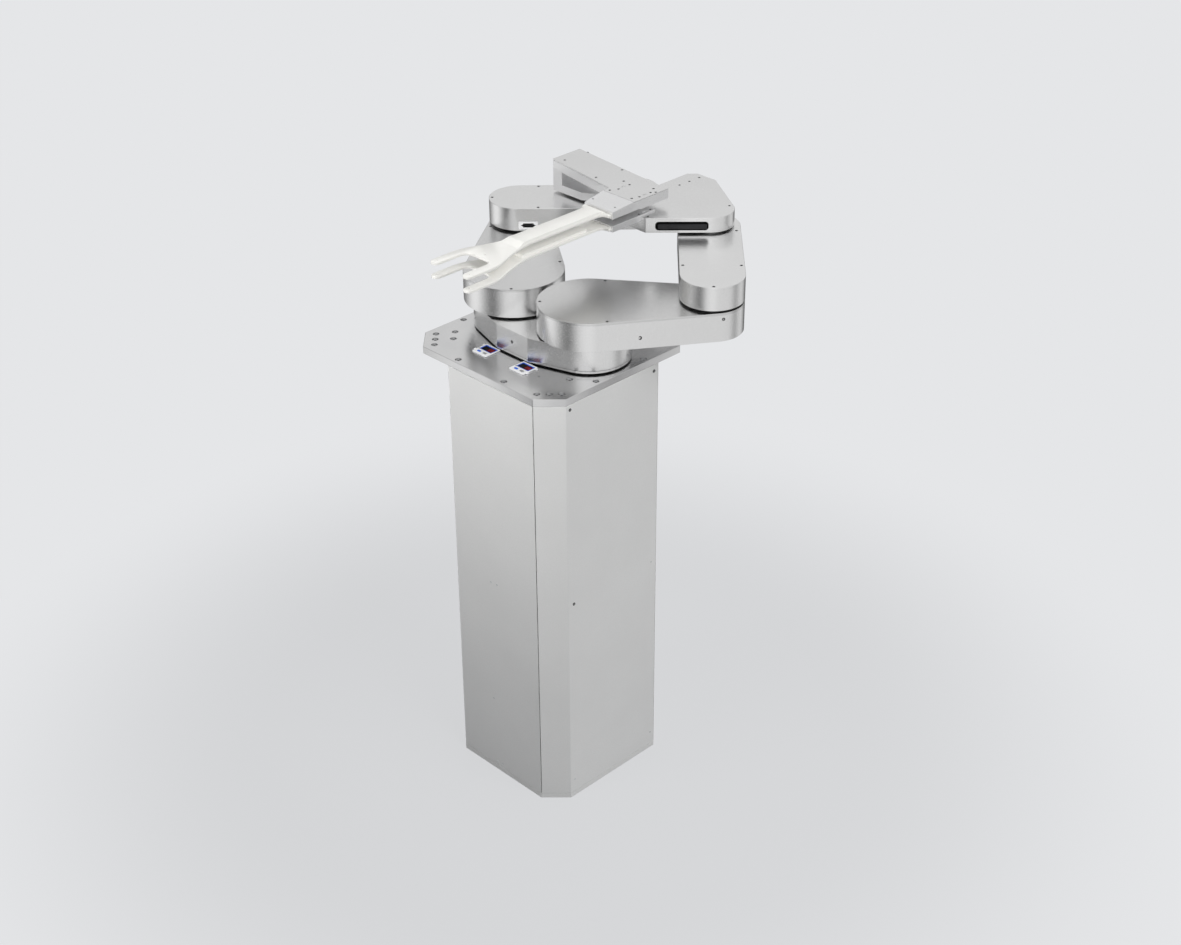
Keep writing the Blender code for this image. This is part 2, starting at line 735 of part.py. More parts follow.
def buildTurret(frame):
    shell = plate("turret_shell", [turretOutline()], turret_floor_top + seat_gap, turret_top)
    hollow = plate("turret_hollow", [turretOutline(turret_wall)], turret_floor_top - mm, turret_top - turret_wall)
    sides = [(-shoulder_x, 0), (shoulder_x, 0)]
    shaft_outer = post_radius + bore_gap + shaft_wall
    bores = cylinders("shoulder_bores", sides, shaft_outer + bore_gap, turret_top - turret_wall - mm,
                      turret_top + mm, medium)
    finish(cut(shell, hollow, bores), "aluminium", frame)

    # The hub closes the turret below, hangs in the tube and carries the fixed shoulder posts
    sun = 2 * elbow_pulley_radius
    z1 = lower_arm_bottom + lower_belt_bottom + belt_width + pulley_margin
    z0 = z1 - belt_width - 2 * pulley_margin
    hub = plate("turret_hub", [turretOutline()], turret_bottom, turret_floor_top)
    cup = cylinders("hub_cup", [(0, 0)], hub_radius, hub_bottom, turret_bottom + mm, fine)
    posts = cylinders("shoulder_posts", sides, post_radius, turret_floor_top - mm, z0 + mm, medium)
    suns = cylinders("shoulder_fixed_pulleys", sides, sun, z0, z1, medium)
    well = cylinders("hub_well", [(0, 0)], hub_radius - hub_wall, hub_bottom + hub_floor, turret_bottom, fine)
    motors = [(-arm_motor_offset, 0), (arm_motor_offset, 0)]
    holes = cylinders("motor_holes", motors, arm_motor_shaft + bore_gap, turret_bottom - 2 * mm,
                      turret_floor_top + mm)
    cable = cylinders("cable_hole", [(0, 0)], cable_hole, hub_bottom - mm, hub_bottom + hub_floor + mm)
    cut(fuse(hub, cup, posts, suns), well, holes, cable)
    finish(hub, "aluminium", frame)

    pulley_top = turret_pulley_bottom + belt_width + 2 * pulley_margin
    belt_bottom = turret_pulley_bottom + pulley_margin
    top = turret_bottom - seat_gap
    for side, s in (("left", -1), ("right", 1)):
        axis = [(s * arm_motor_offset, 0)]
        motor = cylinders(side + "_arm_motor", axis, arm_motor_radius, top - arm_motor_length, top, medium)
        shaft = cylinders(side + "_motor_shaft", axis, arm_motor_shaft, top - 5 * mm, turret_pulley_bottom + mm)
        pulley = cylinders(side + "_motor_pulley", axis, drive_pulley_radius, turret_pulley_bottom, pulley_top,
                           medium)
        finish(fuse(motor, shaft, pulley), "motor", frame)
        pair = [(s * arm_motor_offset, 0, drive_pulley_radius), (s * shoulder_x, 0, driven_pulley_radius)]
        belt = plate(side + "_turret_belt", beltLoop(pair), belt_bottom, belt_bottom + belt_width)
        finish(belt, "rubber", frame)
        rings = [circle(s * shoulder_x, 0, seal_radius, fine), circle(s * shoulder_x, 0, seal_radius - seal_width, fine)]
        seal = plate(side + "_shoulder_seal", rings, turret_top + seat_gap, lower_arm_bottom - seat_gap)
        finish(seal, "rubber", frame)


# Arms
def beltLoop(pulleys):
    """The outer and the inner outline of a belt round two pulleys."""
    inner = [(x, y, r + seat_gap) for x, y, r in pulleys]
    outer = [(x, y, r + seat_gap + belt_thickness) for x, y, r in pulleys]
    return [around(outer, belt_facets), around(inner, belt_facets)]


def linkOutline(r0, r1, inset=0.0):
    # The hollow's corners lie between those of the outside
    return around([(0, 0, r0 - inset), (link_length, 0, r1 - inset)], fine - 2 if inset else fine)


def buildCasing(name, r0, r1, height, floor_hole, frame):
    """An open tray with a wall all round and a bore in its floor at the near joint."""
    top = height - lid_thickness - seat_gap
    casing = plate(name, [linkOutline(r0, r1)], 0, top)
    hollow = plate(name + "_hollow", [linkOutline(r0, r1, arm_wall)], arm_wall, top + mm)
    bore = cylinders(name + "_bore", [(0, 0)], floor_hole, -mm, arm_wall + mm, medium)
    return finish(cut(casing, hollow, bore), "aluminium", frame)


def buildLid(name, r0, r1, height, hole, frame):
    outlines = [linkOutline(r0, r1), circle(link_length, 0, hole)]
    lid = plate(name, outlines, height - lid_thickness, height)
    return finish(lid, "aluminium", frame)


def hollowShaft(name, bore, top, bottom, flange_height, pulley_radius, pulley_z0, pulley_z1, frame):
    """A hollow shaft that hangs under an arm, with a flange on top and a pulley below."""
    outer = bore + shaft_wall
    flange = outer + shaft_flange
    profile = [(bore, top), (flange, top), (flange, top - flange_height), (outer, top - flange_height),
               (outer, pulley_z1), (pulley_radius, pulley_z1), (pulley_radius, pulley_z0),
               (outer, pulley_z0), (outer, bottom), (bore, bottom)]
    return finish(turned(name, profile, medium, hollow=True), "steel", frame)


def buildLowerArm(side, frame):
    name = side + "_lower_arm"
    bore = post_radius + bore_gap
    buildCasing(name + "_casing", shoulder_radius, elbow_radius, lower_arm_height, bore, frame)
    elbow_bore = elbow_post_radius + bore_gap + shaft_wall + bore_gap
    buildLid(name + "_lid", shoulder_radius, elbow_radius, lower_arm_height, elbow_bore, frame)

    z0 = lower_belt_bottom
    loops = beltLoop([(0, 0, 2 * elbow_pulley_radius), (link_length, 0, elbow_pulley_radius)])
    finish(plate(name + "_belt", loops, z0, z0 + belt_width), "rubber", frame)

    # The drive shaft hangs in the turret, with its pulley level with the turret's belt
    low = turret_pulley_bottom - lower_arm_bottom
    high = low + belt_width + 2 * pulley_margin
    bottom = turret_floor_top + swing_gap - lower_arm_bottom
    hollowShaft(side + "_shoulder_shaft", bore, -seat_gap, bottom, shoulder_gap - seat_gap - swing_gap,
                driven_pulley_radius, low, high, frame)

    # The elbow post stands on the floor and carries the fixed pulley in the forearm.
    foot = arm_wall + seat_gap
    rise = forearm_bottom - lower_arm_bottom + lower_belt_bottom
    head, neck = rise + belt_width + pulley_margin, rise - pulley_margin
    post = turned(side + "_elbow_post",
                  [(0, head), (wrist_drive_radius, head), (wrist_drive_radius, neck),
                   (elbow_post_radius, neck), (elbow_post_radius, foot + post_foot),
                   (elbow_foot_radius, foot + post_foot), (elbow_foot_radius, foot), (0, foot)], medium)
    finish(moveBy(post, link_length), "steel", frame)


def buildForearm(side, frame):
    name = side + "_forearm"
    bore = elbow_post_radius + bore_gap
    casing = buildCasing(name + "_casing", elbow_radius, elbow_radius, forearm_height, bore, frame)
    wrist_bore = hand_shaft_radius + bore_gap
    buildLid(name + "_lid", elbow_radius, elbow_radius, forearm_height, wrist_bore, frame)

    z0 = lower_belt_bottom
    loops = beltLoop([(0, 0, wrist_drive_radius), (link_length, 0, 2 * wrist_drive_radius)])
    finish(plate(name + "_belt", loops, z0, z0 + belt_width), "rubber", frame)

    drop = forearm_bottom - lower_arm_bottom
    low = lower_belt_bottom - pulley_margin - drop
    high = low + belt_width + 2 * pulley_margin
    bottom = arm_wall + seat_gap + post_foot + swing_gap - drop
    hollowShaft(side + "_elbow_shaft", bore, -seat_gap, bottom, elbow_gap - seat_gap - swing_gap,
                elbow_pulley_radius, low, high, frame)
    return casing


def buildConnector(casing, frame):
    """The socket stands in a cut-out of the wall and its lip lies on the outside."""
    x0 = connector_from_elbow - connector_width / 2
    x1 = x0 + connector_width
    z0 = connector_level - connector_height / 2
    z1 = z0 + connector_height
    g = seat_gap
    wall = -elbow_radius
    gap = box("connector_opening", x0 - g, x1 + g, wall - mm, wall + arm_wall + mm, z0 - g, z1 + g)
    carry(cut(casing, gap), frame)
    body = box("left_forearm_connector", x0, x1, wall - g - connector_lip_thickness / 2,
               wall + connector_depth, z0, z1)
    e = connector_lip
    lip = box("connector_lip", x0 - e, x1 + e, wall - g - connector_lip_thickness, wall - g,
              z0 - e / 2, z1 + e / 2)
    socket = box("connector_socket", x0 + 2 * mm, x1 - 2 * mm, wall - 4 * mm, wall + 5 * mm,
                 z0 + 1.5 * mm, z1 - 1.5 * mm)
    finish(cut(fuse(body, lip), socket), "black_plastic", frame)


# Forks, drawn along -Y from the clamp's front edge with the top of the blade at height 0
def curveTo(points, control, end, steps):
    """Adds a curve from the last of the points to the end, bent towards the control point."""
    x, y = points[-1]
    for k in range(1, steps + 1):
        t = k / steps
        a, b, c = (1 - t) ** 2, 2 * t * (1 - t), t * t
        points.append((a * x + b * control[0] + c * end[0], a * y + b * control[1] + c * end[1]))


def forkOutline():
    """The right half from the root to the slot, then its mirror image."""
    root, shank, tongue = fork_root_width / 2, shank_width / 2, fork_root_width / 2 - clamp_side
    outer, inner, blade = tine_outer / 2, tine_gap / 2, blade_start_width / 2
    middle, reach = (outer + inner) / 2, (outer - inner) / 2
    tip, crotch = -fork_length, slot_depth - fork_length
    half = [(tongue, clamp_seat_depth - seat_gap), (tongue, -seat_gap), (root, -seat_gap), (root, -fork_collar)]
    curveTo(half, (shank, -fork_collar), (shank, -fork_collar - 2 * fork_corner), 5)
    half.append((shank, blade_bend - waist))
    curveTo(half, (shank, -waist - blade_bend / 2), (blade, -blade_start), 6)
    curveTo(half, (outer, (-blade_start - tine_start) / 2), (outer, -tine_start), 4)
    half.append((outer, tip + 1.4 * reach))
    curveTo(half, (outer, tip), (middle, tip), 4)
    curveTo(half, (inner, tip), (inner, tip + 1.4 * reach), 4)
    half.append((inner, crotch - slot_corner))
    curveTo(half, (inner, crotch), (inner - slot_corner, crotch), 5)
    return [(-x, y) for x, y in half] + half[::-1]


def buildFork(name, frame, x, y, z):
    blade = plate(name, [forkOutline()], -fork_thickness, 0)
    half = shank_width / 2 - rib_inset
    end = -rib_start - rib_length
    rib = box(name + "_rib", -half, half, end - 1.2 * rib_ramp, -rib_start + rib_ramp * 0.6,
              -fork_thickness / 2, rib_rise)
    # The rib runs out in a ramp at each end
    angle = math.atan2(rib_rise, rib_ramp)
    low = box(name + "_ramp_tool", -shank_width, shank_width, -shank_width, 0, 0, shank_width)
    low.location = (0, end, rib_rise)
    low.rotation_euler.x = angle
    high = box(name + "_end_tool", -shank_width, shank_width, 0, shank_width, 0, shank_width)
    high.location = (0, -rib_start, rib_rise)
    high.rotation_euler.x = -2 * angle
    cut(rib, low, high)
    spots = [(s * (tine_outer + tine_gap) / 4, -fork_length + suction_from_tip) for s in (-1, 1)]
    spots.append((0, -fork_length + slot_depth + 12 * mm))
    holes = cylinders(name + "_suction", spots, suction_radius, -fork_thickness - mm, mm, 8)
    fuse(blade, rib)
    cut(blade, holes)
    finish(blade, "ceramic", frameAt(name + "_seat", frame, x, y, z))


def clampSlot(name, x, y, z):
    """The slot that takes the fork's root, cut from the clamp's front."""
    g = seat_gap
    half = fork_root_width / 2 - clamp_side + g
    return box(name, x - half, x + half, y - mm, y + clamp_seat_depth, z - fork_thickness - g, z + g)


def handBolts(x):
    rows = [-row * mm for row in hand_bolt_rows]
    return [(x + s * hand_bolt_spread, row) for s in (-1, 1) for row in rows]


def wristShaft(name, top):
    """The solid wrist shaft with the pulley that runs in the forearm."""
    level = forearm_bottom - hand_bottom + lower_belt_bottom
    z0, z1 = level - pulley_margin, level + belt_width + pulley_margin
    r = 2 * wrist_drive_radius
    flange = hand_shaft_radius + shaft_flange
    lip = -wrist_gap + swing_gap
    return turned(name, [(0, top), (flange, top), (flange, lip), (hand_shaft_radius, lip),
                         (hand_shaft_radius, z1), (r, z1), (r, z0), (0, z0)], medium)


def buildUpperHand(frame):
    """The bracket reaches round the lower hand and whatever lies on its fork."""
    x = shoulder_x                     # the forks' centre line, seen from the left wrist
    wall = x - bracket_span
    z_fork = fork_level + fork_pitch
    z_top = z_fork + bar_over_fork
    z_bar = z_top - bar_height
    z_clamp = z_fork - fork_thickness - bar_under_fork
    y0, y1 = -bracket_front, -bracket_front + bracket_depth
    clamp_y, half = -clamp_reach, clamp_width / 2

    beam = around([(wall, y0, 0), (x - bracket_neck, y0, 0), (0, 0, hand_hub_radius), (wall, y1, 0)])
    bracket = plate("upper_hand_bracket", [beam], 0, beam_height)
    post = plate("bracket_wall_block", [rectangle(wall, wall + bracket_wall, y0, y1)], beam_height / 2,
                 z_bar + bar_height / 2)
    bar = [(wall, y0), (x - bar_junction_x, -bar_junction_y), (x + half, -bar_junction_y),
           (x + half, -bar_back), (x + bar_back_x, -bar_back), (wall, y1)]
    top_bar = plate("bracket_bar", [bar], z_bar, z_top)
    nose = [(x - half, clamp_y), (x + half, clamp_y), (x + half, -bar_back), (x - half, -bar_back),
            (x - bar_junction_x, -bar_junction_y)]
    clamp = plate("bracket_clamp", [nose], z_clamp, z_top)
    shaft = wristShaft("upper_wrist_shaft", beam_height / 2)

    # The cover lies in a recess behind the ramp, and the ramp falls to the clamp's front edge
    ramp_y = clamp_y + ramp_length
    reach = bracket_span + clamp_width
    recess = box("cover_recess", x - reach, x + reach, ramp_y, y1 + mm, z_top - cover_thickness - seat_gap,
                 z_top + mm)
    slope = box("ramp_tool", x - clamp_width, x + clamp_width, -2 * ramp_length, 0, 0, bar_height)
    slope.location = (0, ramp_y, z_top)
    slope.rotation_euler.x = math.atan2(ramp_drop, ramp_length)
    slot = clampSlot("upper_fork_slot", x, clamp_y, z_fork)
    bolts = cylinders("upper_hand_holes", handBolts(x), hand_bolt_radius, z_top - 8 * mm, z_top + mm, 10)
    cut(fuse(bracket, post, top_bar, clamp, shaft), recess, slope, slot, bolts)
    finish(bracket, "aluminium", frame)

    outline = [(wall, y0), (x - bar_junction_x, -bar_junction_y)]
    lean = (clamp_reach - ramp_length - bar_junction_y) / (clamp_reach - bar_junction_y)
    corner = bar_junction_x + (half - bar_junction_x) * lean
    outline += [(x - corner, ramp_y + seat_gap), (x + half, ramp_y + seat_gap)]
    outline += [(x + half, -bar_back), (x + bar_back_x, -bar_back), (wall, y1)]
    holes = [circle(hx, hy, hand_bolt_radius, 10) for hx, hy in handBolts(x)]
    cover = plate("upper_hand_cover", [outline] + holes, z_top - cover_thickness, z_top)
    finish(cover, "aluminium", frame)
    buildFork("upper_fork", frame, x, clamp_y, z_fork)


def lowerHandOutline(x, inset=0.0):
    corner_x, y0 = x + lower_front_x, -lower_front
    left_x, y1 = x - lower_left_x, lower_back
    i = inset
    return around([(corner_x - i * 1.3, y0 + i, 0), (0, 0, hand_hub_radius - i), (x + lower_back_x, y1 - i, 0),
                   (left_x + lower_corner + i * 0.4, y1 - i, 0), (left_x + i, y1 - lower_corner - i * 0.4, 0),
                   (left_x + i, y0 + i, 0)])


def buildLowerHand(frame):
    x = -shoulder_x                    # the forks' centre line, seen from the right wrist
    clamp_y, half = -clamp_reach, clamp_width / 2
    base_top = lower_base_thickness
    base = plate("lower_hand_base", [lowerHandOutline(x)], 0, base_top)
    fuse(base, wristShaft("lower_wrist_shaft", base_top / 2))
    finish(base, "aluminium", frame)

    plate_top = fork_level + fork_plate_over
    plate_bottom = plate_top - fork_plate_height
    z0, z1 = base_top + seat_gap, lower_hand_height
    casing = plate("lower_hand_casing", [lowerHandOutline(x)], z0, z1)
    hollow = plate("lower_hand_hollow", [lowerHandOutline(x, lower_wall + window_depth)], z0 - mm,
                   plate_bottom - seat_gap - lower_ceiling)
    g = seat_gap
    plate_back = clamp_y + fork_plate_length
    seat = box("fork_plate_seat", x - half - g, x + half + g, -lower_front - mm, plate_back + g,
               plate_bottom - g, z1 + mm)

    # The window lies along the slanted front face, between the corner and the hub
    corner = Vector((x + lower_front_x, -lower_front))
    span = corner.length
    heading = math.atan2(-corner.y, -corner.x) - math.asin(hand_hub_radius / span)
    centre = corner + Vector((math.cos(heading), math.sin(heading))) * (window_start + window_length / 2)
    r = window_height / 2 - 2 * mm
    w, h = window_length / 2 - r, window_height / 2 - r
    middle = z0 + window_sill + window_height / 2

    def windowBlock(name, shrink, near, far):
        shape = around([(w, h, r - shrink), (-w, h, r - shrink), (-w, -h, r - shrink), (w, -h, r - shrink)], 24)
        block = plate(name, [shape], near, far)
        stand = Matrix.Rotation(heading, 4, "Z") @ Matrix.Rotation(90 * degree, 4, "X")
        block.matrix_world = Matrix.Translation((centre.x, centre.y, middle)) @ stand @ block.matrix_world
        return block

    window = windowBlock("hand_window", 0, -window_depth, 4 * mm)
    cut(casing, hollow, seat, window)
    finish(casing, "aluminium", frame)
    insert = windowBlock("hand_window_insert", g, -window_depth + g, -window_recess)
    finish(insert, "black_plastic", frame)

    bar = plate("lower_fork_plate", [rectangle(x - half, x + half, clamp_y, plate_back)], plate_bottom, plate_top)
    slot = clampSlot("lower_fork_slot", x, clamp_y, fork_level)
    bolts = cylinders("lower_hand_holes", handBolts(x), hand_bolt_radius, plate_top - 5 * mm, plate_top + mm, 10)
    cut(bar, slot, bolts)
    finish(bar, "aluminium", frame)
    buildFork("lower_fork", frame, x, clamp_y, fork_level)


# Assembly
def build():
    buildColumn()
    buildFlange()
    buildSwitches()
    buildLiftFrame()
    buildScrew()
    lift = frameAt("lift_frame", None, 0, 0, 0)
    buildLift(lift)
    turret = frameAt("turret_frame", lift, 0, 0, 0)
    buildTurret(turret)
    for side, sign in (("left", -1), ("right", 1)):
        link = rest_angle if sign > 0 else math.pi - rest_angle
        fore = math.pi - link
        shoulder = frameAt(side + "_shoulder", turret, sign * shoulder_x, 0, lower_arm_bottom, link)
        buildLowerArm(side, shoulder)
        elbow = frameAt(side + "_elbow", shoulder, link_length, 0, forearm_bottom - lower_arm_bottom, fore - link)
        casing = buildForearm(side, elbow)
        wrist = frameAt(side + "_wrist", elbow, link_length, 0, hand_bottom - forearm_bottom, -fore)
        if side == "left":
            buildConnector(casing, elbow)
            buildUpperHand(wrist)
        else:
            buildLowerHand(wrist)


build()
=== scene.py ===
# Wafer transfer robot: a grey lift column, a turret and two folded aluminium arms with ceramic forks.
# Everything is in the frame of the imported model: origin on the turret's axis at the floor, forks towards -Y.
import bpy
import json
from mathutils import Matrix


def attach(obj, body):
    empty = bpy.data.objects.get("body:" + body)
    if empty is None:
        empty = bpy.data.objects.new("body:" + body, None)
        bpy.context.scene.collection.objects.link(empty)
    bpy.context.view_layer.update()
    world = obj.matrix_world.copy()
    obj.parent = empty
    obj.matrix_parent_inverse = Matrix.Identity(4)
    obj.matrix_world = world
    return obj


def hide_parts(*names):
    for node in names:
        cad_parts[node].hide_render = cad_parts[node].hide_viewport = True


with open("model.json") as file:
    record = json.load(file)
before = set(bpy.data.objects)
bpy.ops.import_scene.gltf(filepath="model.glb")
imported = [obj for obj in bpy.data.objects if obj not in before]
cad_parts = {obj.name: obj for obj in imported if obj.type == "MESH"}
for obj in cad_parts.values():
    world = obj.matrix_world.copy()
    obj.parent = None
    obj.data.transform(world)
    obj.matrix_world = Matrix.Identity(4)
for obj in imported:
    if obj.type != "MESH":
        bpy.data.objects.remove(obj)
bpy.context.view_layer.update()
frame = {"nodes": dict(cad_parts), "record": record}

import json
from math import acos, asin, atan2, cos, degrees, hypot, pi, radians, sin, sqrt, tan

import bmesh
import bpy
from mathutils import Matrix, Vector

mm = 0.001


# Colours, nodes and finishes

def linear(hexColour):
    channels = [int(hexColour[i:i + 2], 16) / 255 for i in (1, 3, 5)]
    return tuple(c / 12.92 if c <= 0.04045 else ((c + 0.055) / 1.055) ** 2.4 for c in channels) + (1.0,)


def feed(node, inputs):
    # A socket takes a value, another socket, the first output of a node, or a list of nodes
    for name, given in inputs.items():
        for source in given if isinstance(given, list) else [given]:
            if isinstance(source, bpy.types.Node):
                source = source.outputs[0]
            if isinstance(source, bpy.types.NodeSocket):
                node.id_data.links.new(source, node.inputs[name])
            else:
                node.inputs[name].default_value = source
    return node


def addNode(tree, kind, inputs=None, **settings):
    node = tree.nodes.new(kind)
    for name, value in settings.items():
        setattr(node, name, value)
    return feed(node, inputs or {})


def calc(tree, operation, first, second):
    return addNode(tree, "ShaderNodeMath", {0: first, 1: second}, operation=operation)


def remap(tree, value, low, high, newLow=0.0, newHigh=1.0, curve="LINEAR"):
    return addNode(tree, "ShaderNodeMapRange", {"Value": value, "From Min": low, "From Max": high,
                                                "To Min": newLow, "To Max": newHigh}, interpolation_type=curve)


def colourMix(tree, factor, first, second):
    return addNode(tree, "ShaderNodeMix", {0: factor, 6: first, 7: second}, data_type="RGBA").outputs[2]


def nodesOf(owner):
    owner.use_nodes = True
    return owner.node_tree


def grainedFinish(name, dark, light, smooth, rough, grainSize, cloudSize, relief, sockets, stretch=(1, 1, 1)):
    # Two tones drift into each other, the gloss wanders a little and a fine grain lifts the surface
    material = bpy.data.materials.new(name)
    tree = nodesOf(material)
    place = addNode(tree, "ShaderNodeTexCoord").outputs["Object"]
    stretched = addNode(tree, "ShaderNodeMapping", {"Vector": place, "Scale": stretch})
    drift = addNode(tree, "ShaderNodeTexNoise", {"Vector": place, "Scale": 1 / (cloudSize * mm), "Detail": 3.0,
                                                 "Roughness": 0.55})
    grain = addNode(tree, "ShaderNodeTexNoise", {"Vector": stretched, "Scale": 1 / (grainSize * mm),
                                                 "Detail": 2.0, "Roughness": 0.6})
    spread = remap(tree, calc(tree, "MULTIPLY", drift, grain), 0.12, 0.4)
    lift = addNode(tree, "ShaderNodeBump", {"Height": grain, "Strength": relief,
                                            "Distance": grainSize * mm * 0.2})
    feed(tree.nodes["Principled BSDF"], {"Base Color": colourMix(tree, spread, linear(dark), linear(light)),
                                         "Roughness": remap(tree, grain, 0.3, 0.7, smooth, rough),
                                         "Normal": lift, **sockets})
    return material


# Each finish: dark and light tone, roughness from and to, grain and cloud size in mm, relief of the grain,
# what goes straight to the shader, and for a finish with a direction how its grain is stretched
finishLooks = {
    # Bead blasted and clear anodised: an even silver haze that still carries broad blurred reflections
    "anodisedAluminium": ("#f0f0f0", "#f3f3f3", 0.25, 0.28, 0.9, 90, 0.04, {"Metallic": 1.0}),
    # Tumbled before anodising: milkier, so its edges and flanks catch the lamps
    "satinAluminium": ("#e8e8e9", "#ededed", 0.27, 0.31, 0.9, 90, 0.04, {"Metallic": 0.7}),
    # The lower arms' lids: the forearms' haze with painted shade, a shade darker
    "paintedShadeAluminium": ("#e0e0e0", "#e4e4e4", 0.25, 0.28, 0.9, 90, 0.04, {"Metallic": 1.0}),
    # Milled plate, blasted less: a little darker and duller on its flat top
    "blastedPlate": ("#dadadb", "#e4e4e4", 0.2, 0.26, 0.8, 60, 0.06, {"Metallic": 1.0}),
    # Powder coat on sheet steel: smooth orange peel, soft sheen
    "powderCoat": ("#dfdfde", "#e5e5e4", 0.36, 0.44, 1.6, 160, 0.2, {"IOR": 1.5}),
    # Ground alumina ceramic: warm white and dense, with a soft wide sheen
    "aluminaCeramic": ("#f1f0eb", "#f6f5f1", 0.34, 0.42, 0.7, 25, 0.12, {"IOR": 1.7}),
    # Ground steel: fine lines along the grinding
    "groundSteel": ("#8f9194", "#a6a8ab", 0.2, 0.34, 0.8, 30, 0.3, {"Metallic": 1.0}, (1, 1, 0.05)),
    # Black enamel on motor housings: deep, slightly glossy
    "motorEnamel": ("#1a1b1d", "#222327", 0.3, 0.42, 1.2, 40, 0.25, {"IOR": 1.5}),
    # Rubber of belts and seals: matt, dusty black
    "nitrileRubber": ("#141414", "#202020", 0.62, 0.75, 0.9, 20, 0.3, {"IOR": 1.52}),
    # White ABS of the switches: moulded, faint spark texture
    "whiteAbs": ("#e6e7e9", "#efeff0", 0.38, 0.5, 0.5, 12, 0.15, {"IOR": 1.53}),
    # Printed blue bezel film round the displays
    "blueFilm": ("#0f4fc8", "#1a5edc", 0.25, 0.35, 0.5, 8, 0.08, {"IOR": 1.5}),
    # Smoked polycarbonate window of the displays: almost black with a clear gloss
    "smokedWindow": ("#020203", "#050507", 0.3, 0.36, 2.0, 12, 0.03, {"IOR": 1.3, "Specular IOR Level": 0.15}),
    # Silicone keys, grey and blue
    "greyKey": ("#8e8f8f", "#9a9b9b", 0.5, 0.6, 0.4, 6, 0.15, {"IOR": 1.43}),
    "blueKey": ("#2b62c9", "#3670d8", 0.4, 0.5, 0.4, 6, 0.15, {"IOR": 1.43}),
    # Digits on the display: a brighter red than the field they stand on
    "redDigits": ("#a01014", "#b21a1e", 0.3, 0.4, 0.4, 6, 0.05, {"IOR": 1.5}),
    # Unlit red field of the display
    "redField": ("#480404", "#560606", 0.4, 0.5, 0.4, 6, 0.05, {"IOR": 1.3, "Specular IOR Level": 0.15}),
    # Tinned shell of the connector: nearly white with a soft gloss
    "tinnedShell": ("#f4f4f5", "#fafafa", 0.3, 0.38, 0.5, 10, 0.1, {"IOR": 1.6}),
    # Glass filled nylon of the connector and of the sill in the hand's window: black with a dry sheen
    "blackNylon": ("#161618", "#202023", 0.4, 0.55, 0.6, 14, 0.25, {"IOR": 1.53}),
    # Painted shade: near black with hardly any sheen, for the dark depth of small openings, and on the hand's
    # window insert, whose own black plastic it darkens into the window's shade
    "paintedShadeBlack": ("#050506", "#09090a", 0.5, 0.65, 0.8, 14, 0.1, {"IOR": 1.3, "Specular IOR Level": 0.2}),
    # Blackened steel screws
    "blackenedSteel": ("#101012", "#1a1a1c", 0.35, 0.45, 0.5, 5, 0.15, {"Metallic": 0.3}),
    # Stainless screws: bright heads with a dull socket
    "stainlessScrew": ("#c6c7c8", "#d4d5d6", 0.24, 0.34, 0.4, 5, 0.12, {"Metallic": 1.0}),
    # Screws of lids and covers: dark grey heads, so they read as small grey dots on the silver
    "greyScrew": ("#5c5d5f", "#6c6d6f", 0.3, 0.4, 0.4, 5, 0.12, {"Metallic": 1.0}),
}
finish = {name: grainedFinish(name, *look) for name, look in finishLooks.items()}
slotFinish = {"aluminium": "anodisedAluminium", "panel": "powderCoat", "ceramic": "aluminaCeramic",
              "steel": "groundSteel", "motor": "motorEnamel", "rubber": "nitrileRubber", "plastic": "whiteAbs",
              "display": "smokedWindow", "key": "greyKey", "blue_key": "blueKey", "black_plastic": "blackNylon"}
print("finishes made")


# Shapes, all in millimetres

def circleLoop(x, y, radius, count=96):
    return [(x + radius * cos(2 * pi * k / count), y + radius * sin(2 * pi * k / count))
            for k in range(count)]


def tautLoop(circles, count=128):
    # A belt pulled round circles (x, y, radius) given anticlockwise
    total = len(circles)
    headings = []
    for i in range(total):
        x0, y0, r0 = circles[i]
        x1, y1, r1 = circles[(i + 1) % total]
        headings.append(atan2(y1 - y0, x1 - x0) - acos((r0 - r1) / hypot(x1 - x0, y1 - y0)))
    loop = []
    for i, (x, y, radius) in enumerate(circles):
        start, end = headings[i - 1], headings[i]
        while end < start:
            end += 2 * pi
        steps = max(1, round((end - start) / (2 * pi) * count)) if radius > 0 else 0
        for k in range(steps + 1):
            angle = start + (end - start) * k / max(1, steps)
            loop.append((x + radius * cos(angle), y + radius * sin(angle)))
    return loop


def roundedBox(x0, x1, y0, y1, radius, count=32):
    return tautLoop([(x1 - radius, y0 + radius, radius), (x1 - radius, y1 - radius, radius),
                     (x0 + radius, y1 - radius, radius), (x0 + radius, y0 + radius, radius)], count)


def chamferedSquare(x0, x1, y0, y1, chamfer):
    return [(x0 + chamfer, y0), (x1 - chamfer, y0), (x1, y0 + chamfer), (x1, y1 - chamfer),
            (x1 - chamfer, y1), (x0 + chamfer, y1), (x0, y1 - chamfer), (x0, y0 + chamfer)]


def solid(name, data):
    item = bpy.data.objects.new(name, data)
    bpy.context.scene.collection.objects.link(item)
    return item


def meshSolid(name, bm):
    mesh = bpy.data.meshes.new(name)
    bm.to_mesh(mesh)
    bm.free()
    return solid(name, mesh)


def slab(name, loop, z0, z1):
    bm = bmesh.new()
    low = [bm.verts.new((x * mm, y * mm, z0 * mm)) for x, y in loop]
    high = [bm.verts.new((x * mm, y * mm, z1 * mm)) for x, y in loop]
    bm.faces.new(low[::-1])
    bm.faces.new(high)
    for i in range(len(loop)):
        j = (i + 1) % len(loop)
        bm.faces.new((low[i], low[j], high[j], high[i]))
    bmesh.ops.remove_doubles(bm, verts=bm.verts, dist=1e-6)
    bmesh.ops.recalc_face_normals(bm, faces=bm.faces)
    return meshSolid(name, bm)


def block(name, x0, x1, y0, y1, z0, z1):
    return slab(name, [(x0, y0), (x1, y0), (x1, y1), (x0, y1)], z0, z1)


